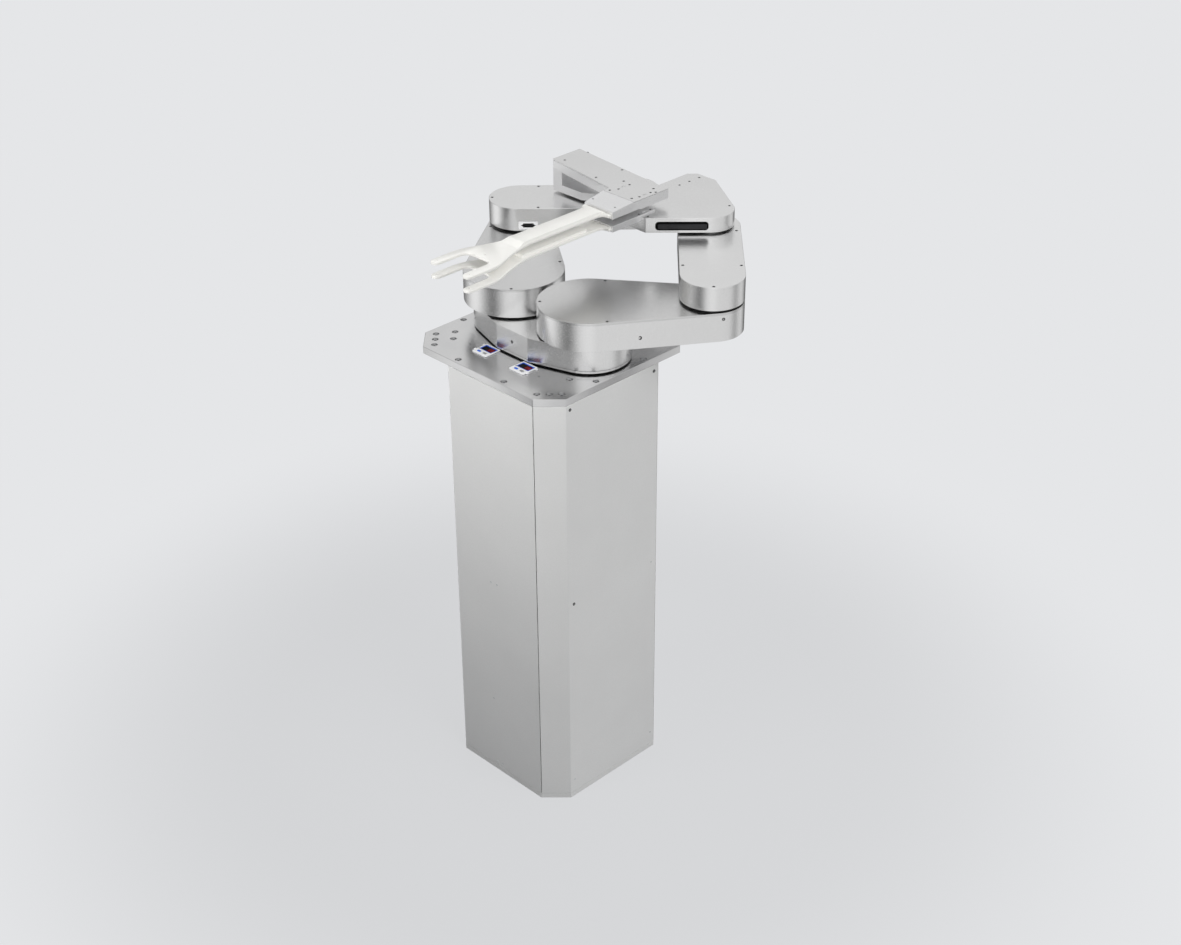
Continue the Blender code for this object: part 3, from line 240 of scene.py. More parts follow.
def pins(name, centres, radius, z0, z1, count=32):
    # Several upright pins in one object, used as one cutting tool
    bm = bmesh.new()
    for x, y in centres:
        bmesh.ops.create_cone(bm, cap_ends=True, segments=count, radius1=radius * mm, radius2=radius * mm,
                              depth=(z1 - z0) * mm, matrix=at(x, y, (z0 + z1) / 2))
    return meshSolid(name, bm)


def at(x, y, z):
    return Matrix.Translation((x * mm, y * mm, z * mm))


def settle(item):
    # The evaluated result becomes the object's own mesh
    bpy.context.view_layer.update()
    result = bpy.data.meshes.new_from_object(item.evaluated_get(bpy.context.evaluated_depsgraph_get()))
    item.modifiers.clear()
    item.data = result
    return item


def combine(item, operation, others):
    for other in others:
        step = item.modifiers.new("combine", "BOOLEAN")
        step.operation = operation
        step.solver = "EXACT"
        step.object = other
    settle(item)
    for other in others:
        bpy.data.objects.remove(other)
    return item


def cut(item, *tools):
    return combine(item, "DIFFERENCE", tools)


def add(item, *others):
    return combine(item, "UNION", others)


def soften(item, width, segments=2, angle=35):
    step = item.modifiers.new("soften", "BEVEL")
    step.width = width * mm
    step.segments = segments
    step.limit_method = "ANGLE"
    step.angle_limit = radians(angle)
    return settle(item)


def dress(item, body, finishName, slotName, *nodes, angle=24):
    # Rounds shade smoothly and edges steeper than the angle stay sharp
    item.data.shade_smooth()
    item.data.set_sharp_from_angle(angle=radians(angle))
    item.data.materials.clear()
    item.data.materials.append(finish[finishName])
    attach(item, body)
    if nodes:
        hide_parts(*nodes)


def moved(item, matrix):
    item.data.transform(matrix)
    if matrix.determinant() < 0:
        item.data.flip_normals()
    return item


# Column: four bent sheets round the lift, standing on the base plate

column = dict(left=-113, right=178.5, front=-178.5, back=124.0, chamfer=39.6, sheet=2.0, seam=1.6, mitre=0.4,
              bendRadius=4.0, bendSteps=8, bottom=10.3, top=835.7)


def bentSheet(path):
    c, sheet, radius = column, column["sheet"], column["bendRadius"]
    first, bend, last = (Vector(point) for point in path)
    ahead, after = (bend - first).normalized(), (last - bend).normalized()
    side0, side1 = Vector((-ahead.y, ahead.x)), Vector((-after.y, after.x))
    mitred = c["seam"] / 2 + sheet * c["mitre"]
    outer, inner = [first + ahead * c["seam"] / 2], [first + ahead * mitred + side0 * sheet]
    centre = bend - ahead * radius * tan(ahead.angle(after) / 2) + side0 * radius
    for k in range(c["bendSteps"] + 1):
        spoke = -(side0.slerp(side1, k / c["bendSteps"]))
        outer.append(centre + spoke * radius)
        inner.append(centre + spoke * (radius - sheet))
    outer.append(last - after * c["seam"] / 2)
    inner.append(last - after * mitred + side1 * sheet)
    return [tuple(point) for point in outer + inner[::-1]]


def makeColumn():
    c = column
    corners = chamferedSquare(c["left"], c["right"], c["front"], c["back"], c["chamfer"])
    for side, picks in (("front", (7, 0, 1)), ("right", (1, 2, 3)), ("back", (3, 4, 5)), ("left", (5, 6, 7))):
        sheet = slab(side + "Sheet", bentSheet([corners[k] for k in picks]), c["bottom"], c["top"])
        dress(soften(sheet, 0.35, 1, 60), "column", "powderCoat", "panel", side + "_panel")


# Flange plate with the tube's hole, its counterbores and the windows of the two switches

flange = dict(half=178.5, chamfer=39.6, bottom=836.0, top=850.0, tubeHole=71.0, boltEdge=10.5,
              boltHalfPitch=58.0, cornerPitch=21.0, cornerEdge=19.4, boreRadius=5.8, boreDepth=7.0,
              throughRadius=3.3, groove=0.8, window=15.8, spares=[(-142, -101), (-124, -121), (131, -84)])


def flangeHoles():
    f = flange
    far = f["half"] - f["boltEdge"]
    holes = [(s * f["boltHalfPitch"], t * far) for s in (-1, 1) for t in (-1, 1)]
    holes += [(s * far, t * f["boltHalfPitch"]) for s in (-1, 1) for t in (-1, 1)]
    middle = f["half"] - f["chamfer"] / 2 - f["cornerEdge"] / sqrt(2)
    step = f["cornerPitch"] / sqrt(2)
    holes += [(s * (middle + k * step), t * (middle - k * step))
              for s in (-1, 1) for t in (-1, 1) for k in (-1, 0, 1)]
    return holes + f["spares"]


def makeFlange():
    f = flange
    half, edge, low, high = f["half"], f["half"] - f["chamfer"], f["bottom"] - 1, f["top"] + 1
    plate = slab("flangePlate", chamferedSquare(-half, half, -half, half, f["chamfer"]), f["bottom"], f["top"])
    soften(plate, 0.6, 1, 30)
    holes = flangeHoles()
    tools = [slab("tubeHole", circleLoop(0, 0, f["tubeHole"]), low, high),
             pins("sinks", holes, f["boreRadius"], f["top"] - f["boreDepth"], high, 40),
             pins("through", holes, f["throughRadius"], low, high, 24)]
    tools += [block("window", x - f["window"], x + f["window"], y - f["window"], y + f["window"], low, high)
              for x, y in switchPlaces]
    tools += [block("groove", *sorted((s * edge, s * (edge + f["groove"]))),
                    *sorted((s * -half - s, s * -half + s)), low, high) for s in (-1, 1)]
    dress(cut(plate, *tools), "column", "blastedPlate", "aluminium", "flange_plate")


# Vacuum switches let into the flange. Display and button are half sizes. The display's layers are set in from
# its left, right, lower and upper edge, then come the corner radius and the two levels, from the frame's top

switch = dict(frame=36.0, body=31.0, depth=26.0, bottom=850.3, top=851.8, corner=3.0, display=(15.0, 9.0),
              displayShift=5.5, wellDepth=2.5, button=(4.0, 2.2), buttonShift=10.5, buttonPitch=14.0,
              buttonPlay=0.3, buttonWell=1.6, buttonRise=0.8, tabReach=3.4, tabHalf=2.4, tabShifts=(12.5, -8.5),
              mark=(1.4, 4.6, -4.5, -1.2), digits=(2.9, -0.4, -0.5))
displayLayers = dict(Film=(0.2, 0.2, 0.2, 0.2, 0.8, -2.2, -0.3), Pane=(2, 2, 1.6, 2.4, 0.6, -1.3, 1),
                     Window=(2.1, 2.1, 1.7, 2.5, 0.5, -1.25, -0.6),
                     Field=(16, 2.6, 2.3, 3.1, 0.4, -0.59, -0.55))
switchPlaces = ((-47.0, -112.5), (47.0, -112.5))


def makeSwitch(side, x, y):
    s, name = switch, side + "Switch"
    top, half, body = s["top"], s["frame"] / 2, s["body"] / 2
    (w, h), c = s["display"], y + s["displayShift"]
    (bw, bh), b = s["button"], y - s["buttonShift"]

    def layer(kind):
        left, right, low, high, radius, z0, z1 = displayLayers[kind]
        loop = roundedBox(x - w + left, x + w - right, c - h + low, c + h - high, radius)
        return slab(name + kind, loop, top + z0, top + z1)

    def button(title, place, play, radius, z0, z1):
        cx, reach, rise = x + place * s["buttonPitch"], bw + play, bh + play
        return slab(title, roundedBox(cx - reach, cx + reach, b - rise, b + rise, radius), top + z0, top + z1)

    loop = roundedBox(x - half, x + half, y - half, y + half, s["corner"])
    housing = soften(slab(name + "Frame", loop, s["bottom"], top), 0.4, 2, 40)
    add(housing, block("stem", x - body, x + body, y - body, y + body, flange["top"] - s["depth"], top - 0.8))
    cut(housing,
        slab("displayWell", roundedBox(x - w, x + w, c - h, c + h, 1.0), top - s["wellDepth"], top + 1),
        *[button("buttonWell", place, s["buttonPlay"], 2.2, -s["buttonWell"], 1) for place in (-0.5, 0.5)])
    dress(housing, "column", "whiteAbs", "plastic", side + "_switch")

    # Blue film round a dark window whose right half is a red field with digits
    dress(cut(layer("Film"), layer("Pane")), "column", "blueFilm", "display")
    dress(soften(layer("Window"), 0.15, 1), "column", "smokedWindow", "display", side + "_switch_display")
    dress(layer("Field"), "column", "redField", "display")
    digitX, digitY, digitZ = s["digits"]
    dress(makeDigits(name + "Digits", x + digitX, c + digitY, top + digitZ), "column", "redDigits", "display")
    outer = -1 if side == "left" else 1
    for k, place in enumerate(s["tabShifts"]):
        reach = sorted((x + outer * (half - 1), x + outer * (half + s["tabReach"])))
        loop = roundedBox(*reach, y + place - s["tabHalf"], y + place + s["tabHalf"], 1.0)
        tab = slab(name + "Tab" + str(k), loop, s["bottom"], top - 0.3)
        dress(soften(tab, 0.3, 2), "column", "whiteAbs", "plastic")
    x0, x1, y0, y1 = s["mark"]
    loop = roundedBox(x - half + x0, x - half + x1, y + y0, y + y1, 0.6)
    dress(slab(name + "Mark", loop, top - 0.5, top + 0.05), "column", "greyKey", "plastic")
    for place, word, look, slotName in ((-0.5, "mode", "blueKey", "blue_key"), (0.5, "set", "greyKey", "key")):
        key = button(side + word.capitalize() + "key", place, 0, 2.0, -s["buttonRise"], s["buttonRise"])
        word = side + "_" + word
        dress(soften(key, 0.4, 2, 40), word + "_key", look, slotName, word + "_button")


# Bars of a digit by column and row, and the digits 0 1 0 that both displays show
digit = dict(width=2.2, height=6.0, bar=0.6, pitch=3.4, relief=0.08, lit=("abcdef", "bc", "abcdef"),
             bars={"a": (0, 2), "b": (1, 1), "c": (1, -1), "d": (0, -2), "e": (-1, -1), "f": (-1, 1)})


def makeDigits(name, x, y, z):
    d = digit
    bm = bmesh.new()
    for place, lit in enumerate(d["lit"]):
        for key in lit:
            across, up = d["bars"][key]
            w, h = (d["bar"], d["height"] / 2.3) if across else (d["width"], d["bar"])
            spot = at(x + place * d["pitch"] + across * d["width"] / 2, y + up * d["height"] / 4, z)
            bmesh.ops.create_cube(bm, size=1,
                                  matrix=spot @ Matrix.Diagonal((w * mm, h * mm, d["relief"] * mm, 1)))
    return meshSolid(name, bm)


# Turret: flat faced shell over both shoulders, and the rubber seals on it

turret = dict(bottom=857.7, top=898.9, end=73.4, shoulder=94.0, flat=39.0, half=94.5, wall=6.0, boreRadius=18.4,
              seal=(61, 68), sealBottom=899.2, sealTop=902.0)


def turretLoop(inset):
    t = turret
    r, x, y = t["end"] - inset, t["flat"], t["half"] - inset
    return tautLoop([(t["shoulder"], 0, r), (x, y, 0), (-x, y, 0),
                     (-t["shoulder"], 0, r), (-x, -y, 0), (x, -y, 0)])


def makeTurret():
    t = turret
    shell = soften(slab("turretShell", turretLoop(0), t["bottom"], t["top"]), 0.5, 1, 40)
    cut(shell, slab("hollow", turretLoop(t["wall"]), t["bottom"] - 5, t["top"] - t["wall"]),
        pins("bores", [(-t["shoulder"], 0), (t["shoulder"], 0)], t["boreRadius"],
             t["top"] - 8, t["top"] + 1, 48))
    dress(shell, "turret", "anodisedAluminium", "aluminium", "turret_shell", angle=8)
    for side, x in (("left", -t["shoulder"]), ("right", t["shoulder"])):
        inner, outer = (circleLoop(x, 0, radius) for radius in t["seal"])
        ring = slab(side + "ShoulderSeal", outer, t["sealBottom"], t["sealTop"])
        cut(ring, slab("ringHole", inner, t["sealBottom"] - 1.2, t["sealTop"] + 1))
        dress(ring, "turret", "nitrileRubber", "rubber", side + "_shoulder_seal")


# Arms: every casing and lid is the hull round two upright drums, so one rule in Geometry Nodes makes them all

arm = dict(length=209.5, wall=6.0, floor=6.0, lid=4.0, edge=0.4, sink=2.7, sinkDepth=1.6,
           facets=128, holeFacets=48)
# The lower arms' lids take the aluminium darkened by painted shade
lowerArm = dict(near=90.0, far=56.0, height=53.1, bottom=902.3, bore=10.4, hole=16.4, finish="paintedShadeAluminium",
                screws=[(-84, 0), (29, 80), (29, -80), (184, 53), (184, -53)])
forearm = dict(near=56.0, far=56.0, height=43.3, bottom=959.7, bore=8.4, hole=14.4, finish="anodisedAluminium",
               screws=[(-50, 0), (35, 50), (35, -50), (182, 48), (182, -48)])
links = {"left_lower_arm": {**lowerArm, "joint": (-94.0, 0.0), "turn": 134.0},
         "right_lower_arm": {**lowerArm, "joint": (94.0, 0.0), "turn": 46.0},
         "left_forearm": {**forearm, "joint": (-239.53, 150.70), "turn": 46.0},
         "right_forearm": {**forearm, "joint": (239.53, 150.70), "turn": 134.0}}


def startTree(name, kinds):
    tree = bpy.data.node_groups.new(name, "GeometryNodeTree")
    tree.interface.new_socket("Geometry", in_out="OUTPUT", socket_type="NodeSocketGeometry")
    for title, kind in kinds.items():
        tree.interface.new_socket(title, in_out="INPUT", socket_type="NodeSocket" + kind)
    return tree, addNode(tree, "NodeGroupInput").outputs


def endTree(tree, mesh):
    addNode(tree, "NodeGroupOutput", {0: addNode(tree, "GeometryNodeRealizeInstances", {"Geometry": mesh})})
    return tree


def hullOf(tree, items):
    joined = addNode(tree, "GeometryNodeJoinGeometry", {0: items})
    return addNode(tree, "GeometryNodeConvexHull", {"Geometry": joined})


def carve(tree, item, tools):
    return addNode(tree, "GeometryNodeMeshBoolean", {0: item, 1: tools}, operation="DIFFERENCE", solver="EXACT")


def linkTree():
    # Hull of chamfered drums, less an inner hull (the hollow) and a round hole
    names = "near far length bottom top edgeLow edgeHigh wall hollowBottom hollowTop holeAt holeRadius"
    tree, given = startTree("armLink", dict.fromkeys(names.split(), "Float"))

    def plus(first, second):
        return calc(tree, "ADD", first, second)

    def less(first, second):
        return calc(tree, "SUBTRACT", first, second)

    def drum(radius, x, low, high, facets=arm["facets"]):
        body = addNode(tree, "GeometryNodeMeshCylinder", {"Vertices": facets, "Radius": radius,
                                                          "Depth": less(high, low)})
        spot = addNode(tree, "ShaderNodeCombineXYZ",
                       {"X": x, "Z": calc(tree, "MULTIPLY", plus(high, low), 0.5)})
        return addNode(tree, "GeometryNodeTransform", {"Geometry": body, "Translation": spot})

    bottom, top, low, high = (given[name] for name in ("bottom", "top", "edgeLow", "edgeHigh"))
    chamfer = calc(tree, "MAXIMUM", low, high)
    waistLow, waistHigh = plus(bottom, low), less(top, high)
    lowEnd, highEnd = plus(bottom, less(chamfer, low)), less(top, less(chamfer, high))
    outside, inside = [], []
    for radius, x in ((given["near"], 0.0), (given["far"], given["length"])):
        outside.append(drum(radius, x, waistLow, waistHigh))
        outside.append(drum(less(radius, chamfer), x, lowEnd, highEnd))
        inside.append(drum(less(radius, given["wall"]), x, given["hollowBottom"], given["hollowTop"]))
    hole = drum(given["holeRadius"], given["holeAt"], less(bottom, 2 * mm), plus(top, 2 * mm),
                arm["holeFacets"])
    return endTree(tree, carve(tree, hullOf(tree, outside), [hullOf(tree, inside), hole]))


def grow(name, tree, values, mesh=None):
    # Runs a node tree on an object and keeps what comes out as a plain mesh
    item = solid(name, mesh or bpy.data.meshes.new(name))
    step = item.modifiers.new("grow", "NODES")
    step.node_group = tree
    for socket in tree.interface.items_tree:
        if socket.in_out == "INPUT" and socket.name in values:
            step[socket.identifier] = values[socket.name]
    return settle(item)


# Screws: heads with a hex socket, for a head of radius 1, placed on points that carry their facing and size

screw = dict(facets=24, depth=1.2, crown=0.86, crownDepth=1.44)
facings = {"up": (0, 0, 0), "front": (pi / 2, 0, 0), "right": (0, pi / 2, 0),
           "back": (-pi / 2, 0, 0), "left": (0, -pi / 2, 0)}


def screwTree():
    tree, given = startTree("screwHeads", {"points": "Geometry", "socketShare": "Float"})

    def cylinder(facets, radius, depth):
        return addNode(tree, "GeometryNodeMeshCylinder", {"Vertices": facets, "Radius": radius, "Depth": depth})

    def lifted(item, rise):
        return addNode(tree, "GeometryNodeTransform", {"Geometry": item, "Translation": (0, 0, rise)})

    rise = screw["crownDepth"] / 2
    head = hullOf(tree, [cylinder(screw["facets"], 1.0, screw["depth"]),
                         cylinder(screw["facets"], screw["crown"], screw["crownDepth"])])
    socket = lifted(cylinder(6, given["socketShare"], screw["depth"]), rise)
    facing = addNode(tree, "GeometryNodeInputNamedAttribute", {"Name": "facing"}, data_type="FLOAT_VECTOR")
    size = addNode(tree, "GeometryNodeInputNamedAttribute", {"Name": "headSize"}, data_type="FLOAT")
    spread = addNode(tree, "GeometryNodeInstanceOnPoints", {
        "Points": given["points"], "Instance": lifted(carve(tree, head, [socket]), -rise),
        "Rotation": addNode(tree, "FunctionNodeEulerToRotation", {0: facing}), "Scale": size})
    return endTree(tree, spread)


armTree, screwHeads = linkTree(), screwTree()


def makeScrews(name, body, spots, finishName, socketShare=0.5):
    # spots: (x, y, z, facing, head radius); a facing is a word or an angle about Z for sloping walls
    mesh = bpy.data.meshes.new(name)
    mesh.from_pydata([(x * mm, y * mm, z * mm) for x, y, z, facing, radius in spots], [], [])
    mesh.attributes.new("facing", "FLOAT_VECTOR", "POINT")
    mesh.attributes.new("headSize", "FLOAT", "POINT")
    turn, size = mesh.attributes["facing"], mesh.attributes["headSize"]
    for i, (x, y, z, facing, radius) in enumerate(spots):
        turn.data[i].vector = facings[facing] if facing in facings else (0, pi / 2, radians(facing))
        size.data[i].value = radius * mm
    dress(grow(name, screwHeads, {"socketShare": socketShare}, mesh), body, finishName, "steel", angle=30)


def sinkScrews(item, spots, top, radius=2.4, depth=1.2):
    return cut(item, pins("sinks", spots, radius, top - depth, top + 1, 24))


def linkPlace(link):
    return at(*link["joint"], link["bottom"]) @ Matrix.Rotation(radians(link["turn"]), 4, "Z")


def worldSpot(link, spot):
    turn = radians(link["turn"])
    x, y = spot
    return (link["joint"][0] + x * cos(turn) - y * sin(turn),
            link["joint"][1] + x * sin(turn) + y * cos(turn))


def makeLink(name, link, **sizes):
    sizes = dict(near=link["near"], far=link["far"], length=arm["length"], wall=arm["wall"], **sizes)
    return moved(grow(name, armTree, {key: size * mm for key, size in sizes.items()}), linkPlace(link))


def makeArms():
    a = arm
    for body, link in links.items():
        first, *others = body.split("_")
        name = first + "".join(word.capitalize() for word in others)
        seat = link["height"] - a["lid"]
        casing = makeLink(name + "Casing", link, bottom=0.0, top=seat - 0.05, edgeLow=a["edge"], edgeHigh=0.0,
                          hollowBottom=a["floor"], hollowTop=seat + 2, holeAt=0.0, holeRadius=link["bore"])
        # The lid's hollow lies below it, so it stays solid
        lid = makeLink(name + "Lid", link, bottom=seat, top=link["height"], edgeLow=0.0, edgeHigh=a["edge"],
                       hollowBottom=-20, hollowTop=-10, holeAt=a["length"], holeRadius=link["hole"])
        if body == "left_forearm":
            cutConnector(casing)
        spots = [worldSpot(link, spot) for spot in link["screws"]]
        sinkScrews(lid, spots, link["bottom"] + link["height"], a["sink"], a["sinkDepth"])
        dress(casing, body, "anodisedAluminium", "aluminium", body + "_casing")
        dress(lid, body, link["finish"], "aluminium", body + "_lid")


# Connector in the left forearm's front wall: bright frame round a black socket with pointed ends

connector = dict(along=16.5, level=11.0, frame=(17.75, 7.3), frameCorner=2.0, socket=(14.5, 4.5), play=0.3,
                 mouth=(9.5, 4.1), point=(13.6, 2.4), taper=(0.9, 0.82), barHalf=1.2)


def connectorPlace():
    link = links["left_forearm"]
    return linkPlace(link) @ at(connector["along"], -link["near"], connector["level"]) \
        @ Matrix.Rotation(pi / 2, 4, "X")


def cutConnector(casing):
    w, h = connector["socket"]
    cut(casing, moved(slab("connectorCut", [(w, -h), (w, h), (-w, h), (-w, -h)], -8, 3), connectorPlace()))


def makeConnector():
    k = connector
    w, h = (size - k["play"] for size in k["socket"])
    (mouthX, mouthY), (pointX, pointY), (taperX, taperY) = k["mouth"], k["point"], k["taper"]
    right = [(mouthX, -mouthY), (mouthX, -pointY), (pointX, 0), (mouthX, pointY), (mouthX, mouthY)]
    outline = right + [(-x, -y) for x, y in right]
    body = slab("forearmSocket", [(w, -h), (w, h), (-w, h), (-w, -h)], -9, 0.2)
    cut(body, slab("socketWell", [(x * taperX, y * taperY) for x, y in outline], -5, 2))
    add(body, block("contactBar", -w + 5, w - 5, -k["barHalf"], k["barHalf"], -5.5, -1.5))
    moved(body, connectorPlace())
    dress(soften(body, 0.15, 1), "left_forearm", "blackNylon", "black_plastic", "left_forearm_connector")
    fw, fh = k["frame"]
    rim = slab("forearmSocketFrame", roundedBox(-fw, fw, -fh, fh, k["frameCorner"]), 0.25, 1.4)
    moved(cut(rim, slab("rimGap", outline, -1, 3)), connectorPlace())
    dress(soften(rim, 0.2, 1), "left_forearm", "tinnedShell", "steel")


# Forks: one outline for both, with a raised rib that runs out in ramps

fork = dict(thickness=4.5, rootWidth=66.0, collar=8.0, corner=7.0, shank=35.0, rib=5.0,
            ribStart={"upper": 9.0, "lower": 42.0}, ribInset={"upper": 1.2, "lower": 9.0}, ribEnd=195.0,
            ramp={"upper": 16.0, "lower": 0.5}, waist=196.0, bend=20.0, bladeStart=259.0, bladeWidth=79.0,
            tineStart=300.0, length=348.0, outer=97.0, gap=62.0, slot=70.0, crotch=18.0, tip=1.4, tongue=48.0,
            tongueInset=2, play=0.3, seat=117.0, suction=1.5, suctionFromTip=11, suctionFromSlot=12,
            levels={"upper": 1059.5, "lower": 1034.5})


def curveOn(points, control, end, steps):
    x, y = points[-1]
    for k in range(1, steps + 1):
        t = k / steps
        a, b, c = (1 - t) ** 2, 2 * t * (1 - t), t * t
        points.append((a * x + b * control[0] + c * end[0], a * y + b * control[1] + c * end[1]))


def forkLoop():
    f = fork
    root, shank, tongue = f["rootWidth"] / 2, f["shank"] / 2, f["rootWidth"] / 2 - f["tongueInset"]
    outer, inner, blade = f["outer"] / 2, f["gap"] / 2, f["bladeWidth"] / 2
    middle, reach = (outer + inner) / 2, (outer - inner) / 2
    tip, crotch = -f["length"], f["slot"] - f["length"]
    half = [(tongue, f["tongue"] - f["play"]), (tongue, -f["play"]), (root, -f["play"]), (root, -f["collar"])]
    curveOn(half, (shank, -f["collar"]), (shank, -f["collar"] - 2 * f["corner"]), 14)
    half.append((shank, f["bend"] - f["waist"]))
    curveOn(half, (shank, -f["waist"] - f["bend"] / 2), (blade, -f["bladeStart"]), 20)
    curveOn(half, (outer, (-f["bladeStart"] - f["tineStart"]) / 2), (outer, -f["tineStart"]), 12)
    half.append((outer, tip + f["tip"] * reach))
    curveOn(half, (outer, tip), (middle, tip), 12)
    curveOn(half, (inner, tip), (inner, tip + f["tip"] * reach), 12)
    half.append((inner, crotch - f["crotch"]))
    curveOn(half, (inner, crotch), (inner - f["crotch"], crotch), 16)
    return [(-x, y) for x, y in half] + half[::-1]


def makeFork(side):
    f = fork
    blade = slab(side + "Fork", forkLoop(), -f["thickness"], 0)
    # The rib's side view, turned upright and trimmed to a narrower copy of the outline
    start, end, rise, foot = -f["ribStart"][side], -f["ribEnd"], f["rib"], -f["ribEnd"] - f["ramp"][side]
    profile = [(start, rise + 1), (start, -2), (foot, -2), (foot, 0), (end, rise), (end, rise + 1)]
    rib = moved(slab("rib", profile, -40, 40), Matrix(((0, 0, 1, 0), (1, 0, 0, 0), (0, 1, 0, 0), (0, 0, 0, 1))))
    inset = 1 - f["ribInset"][side] / f["shank"]
    combine(rib, "INTERSECT", [slab("ribOutline", [(x * inset, y) for x, y in forkLoop()], -1, rise)])
    soften(add(blade, rib), 0.7, 2, 25)
    spots = [(s * (f["outer"] + f["gap"]) / 4, -f["length"] + f["suctionFromTip"]) for s in (-1, 1)]
    spots.append((0, -f["length"] + f["slot"] + f["suctionFromSlot"]))
    cut(blade, pins("suction", spots, f["suction"], -f["thickness"] - 1, 2, 24))
    moved(blade, at(0, f["seat"], f["levels"][side]))
    dress(blade, side + "_hand", "aluminaCeramic", "ceramic", side + "_fork", angle=30)


def tongueSlot(level):
    f = fork
    half = f["rootWidth"] / 2 - f["tongueInset"] + f["play"]
    return block("tongueSlot", -half, half, f["seat"] - 1, f["seat"] + f["tongue"],
                 level - f["thickness"] - f["play"], level + f["play"])


# The CAD shaft and pulley under each hand: radius and levels, those of the pulley over the forearm's floor
wrist = dict(flange=(26, 1004.0), shaft=(14, 30, 1005), pulley=(36, 14, 32))


def wristPin(x, y, top):
    (flangeRadius, bottom), (shaftRadius, rise, end), (radius, low, high) = wrist.values()
    z = forearm["bottom"]
    return [pins("wristFlange", [(x, y)], flangeRadius, bottom, top, 64),
            pins("wristShaft", [(x, y)], shaftRadius, z + rise, end, 48),
            pins("wristPulley", [(x, y)], radius, z + low, z + high, 64)]


def shimSlot(x0, x1, y0, y1, top):
    return slab("shimSlot", roundedBox(x0, x1, y0, y1, 2.5), top - 1.2, top + 1)


# Upper hand: bracket that reaches round the lower hand, with a thin cover plate on its bar

upperHand = dict(wallX=-214.0, wall=23.0, y0=213.0, y1=282.0, hub=(-94.0, 301.4, 45.0), neckX=-140.0,
                 bottom=1006.5, beamTop=1021.5, barBottom=1048.5, top=1067.6,
                 clampBottom=1050.0, clampHalf=34.5, clampFront=117.0,
                 barCorner=(-43.0, 186.0), barBack=258.0, barBackX=5.0, rampY=170.0, rampDrop=3.9,
                 slope=(-60, 60, -106, 0, 0, 19), cover=2.0, play=0.3, recess=(-280, 80), flangeTop=7,
                 shimSlots=((-30.1, -24.9, 203, 212), (22.9, 28.1, 203, 212)),
                 rampScrews=[(-31, 135), (23, 135)],
                 screws=[(-192.9, 223.1), (-190.8, 280.2), (-93.0, 204.1), (-84.2, 261.8), (-45, 226),
                         (-33.4, 178.9), (-26, 193.5), (-26, 221.3), (20.4, 179.1), (25, 193.7), (25.7, 221.3),
                         (17, 238), (31, 229)])


def makeUpperHand():
    u = upperHand
    (hx, hy, hr), (cornerX, cornerY), c, top = u["hub"], u["barCorner"], u["clampHalf"], u["top"]
    beam = slab("upperHandBracket", tautLoop([(u["wallX"], u["y0"], 0), (u["neckX"], u["y0"], 0), (hx, hy, hr),
                                              (u["wallX"], u["y1"], 0)]), u["bottom"], u["beamTop"])
    wall = block("wall", u["wallX"], u["wallX"] + u["wall"], u["y0"], u["y1"], u["bottom"] + 5, top - 5)
    back = [(c, u["barBack"]), (u["barBackX"], u["barBack"]), (u["wallX"], u["y1"])]
    bar = slab("bar", [(u["wallX"], u["y0"]), u["barCorner"], (c, cornerY), *back], u["barBottom"], top)
    clamp = slab("clamp", [(-c, u["clampFront"]), (c, u["clampFront"]), (c, u["barBack"]), (-c, u["barBack"]),
                           u["barCorner"]], u["clampBottom"], top)
    add(beam, wall, bar, clamp)
    lean = Matrix.Rotation(atan2(u["rampDrop"], u["rampY"] - u["clampFront"]), 4, "X")
    slope = moved(block("slope", *u["slope"]), at(0, u["rampY"], top) @ lean)
    cut(beam, slope,
        block("recess", *u["recess"], u["rampY"], u["y1"] + 1, top - u["cover"] - u["play"], top + 1))
    soften(beam, 0.5, 1, 30)
    cut(beam, tongueSlot(fork["levels"]["upper"]))
    add(beam, *wristPin(hx, hy, u["bottom"] + u["flangeTop"]))
    dress(beam, "upper_hand", "satinAluminium", "aluminium", "upper_hand_bracket")

    # The cover ends where the ramp begins, on the line from the bar's corner to the clamp's
    share = (u["rampY"] - cornerY) / (u["clampFront"] - cornerY)
    front = u["rampY"] + u["play"]
    corner = (cornerX + (-c - cornerX) * share, front)
    coverLoop = [(u["wallX"], u["y0"]), u["barCorner"], corner, (c, front), *back]
    cover = soften(slab("upperHandCover", coverLoop, top - u["cover"], top), 0.25, 1, 25)
    sinkScrews(cover, u["screws"], top)
    cut(cover, *[shimSlot(*spot, top) for spot in u["shimSlots"]])
    dress(cover, "upper_hand", "anodisedAluminium", "aluminium", "upper_hand_cover")


# Lower hand: base, casing with the window in its slanted face, and the fork plate

lowerHand = dict(corner=(45.0, 189.0), hub=(94.0, 301.4, 45.0), backX=14.0, back=406.0, leftX=-44.0, cut=14.0,
                 bottom=1006.5, baseTop=1009.0, casingBottom=1009.05, top=1034.4, wall=15, roof=1.8, play=0.3,
                 plateHalf=34.5, plateFront=117.0, plateBack=224.0, plateBottom=1026.0, plateTop=1037.4,
                 windowLength=94.0, windowHeight=16.5, windowStart=17.0, windowRound=6.25, windowFloor=1009.3,
                 windowLow=1.8, windowDepth=9.0, insertFront=-3.4, shimSlot=(25.6, 30.8, 199, 208),
                 flangeTop=1.2,
                 screws=[(-16.2, 342), (-15.4, 367.5), (-14.6, 393.4), (112.4, 334), (41.7, 198.2), (-36, 296)],
                 plateScrews=[(28.5, 188.7), (28.3, 218.4), (-28.5, 188.7), (-28.3, 218.4)])


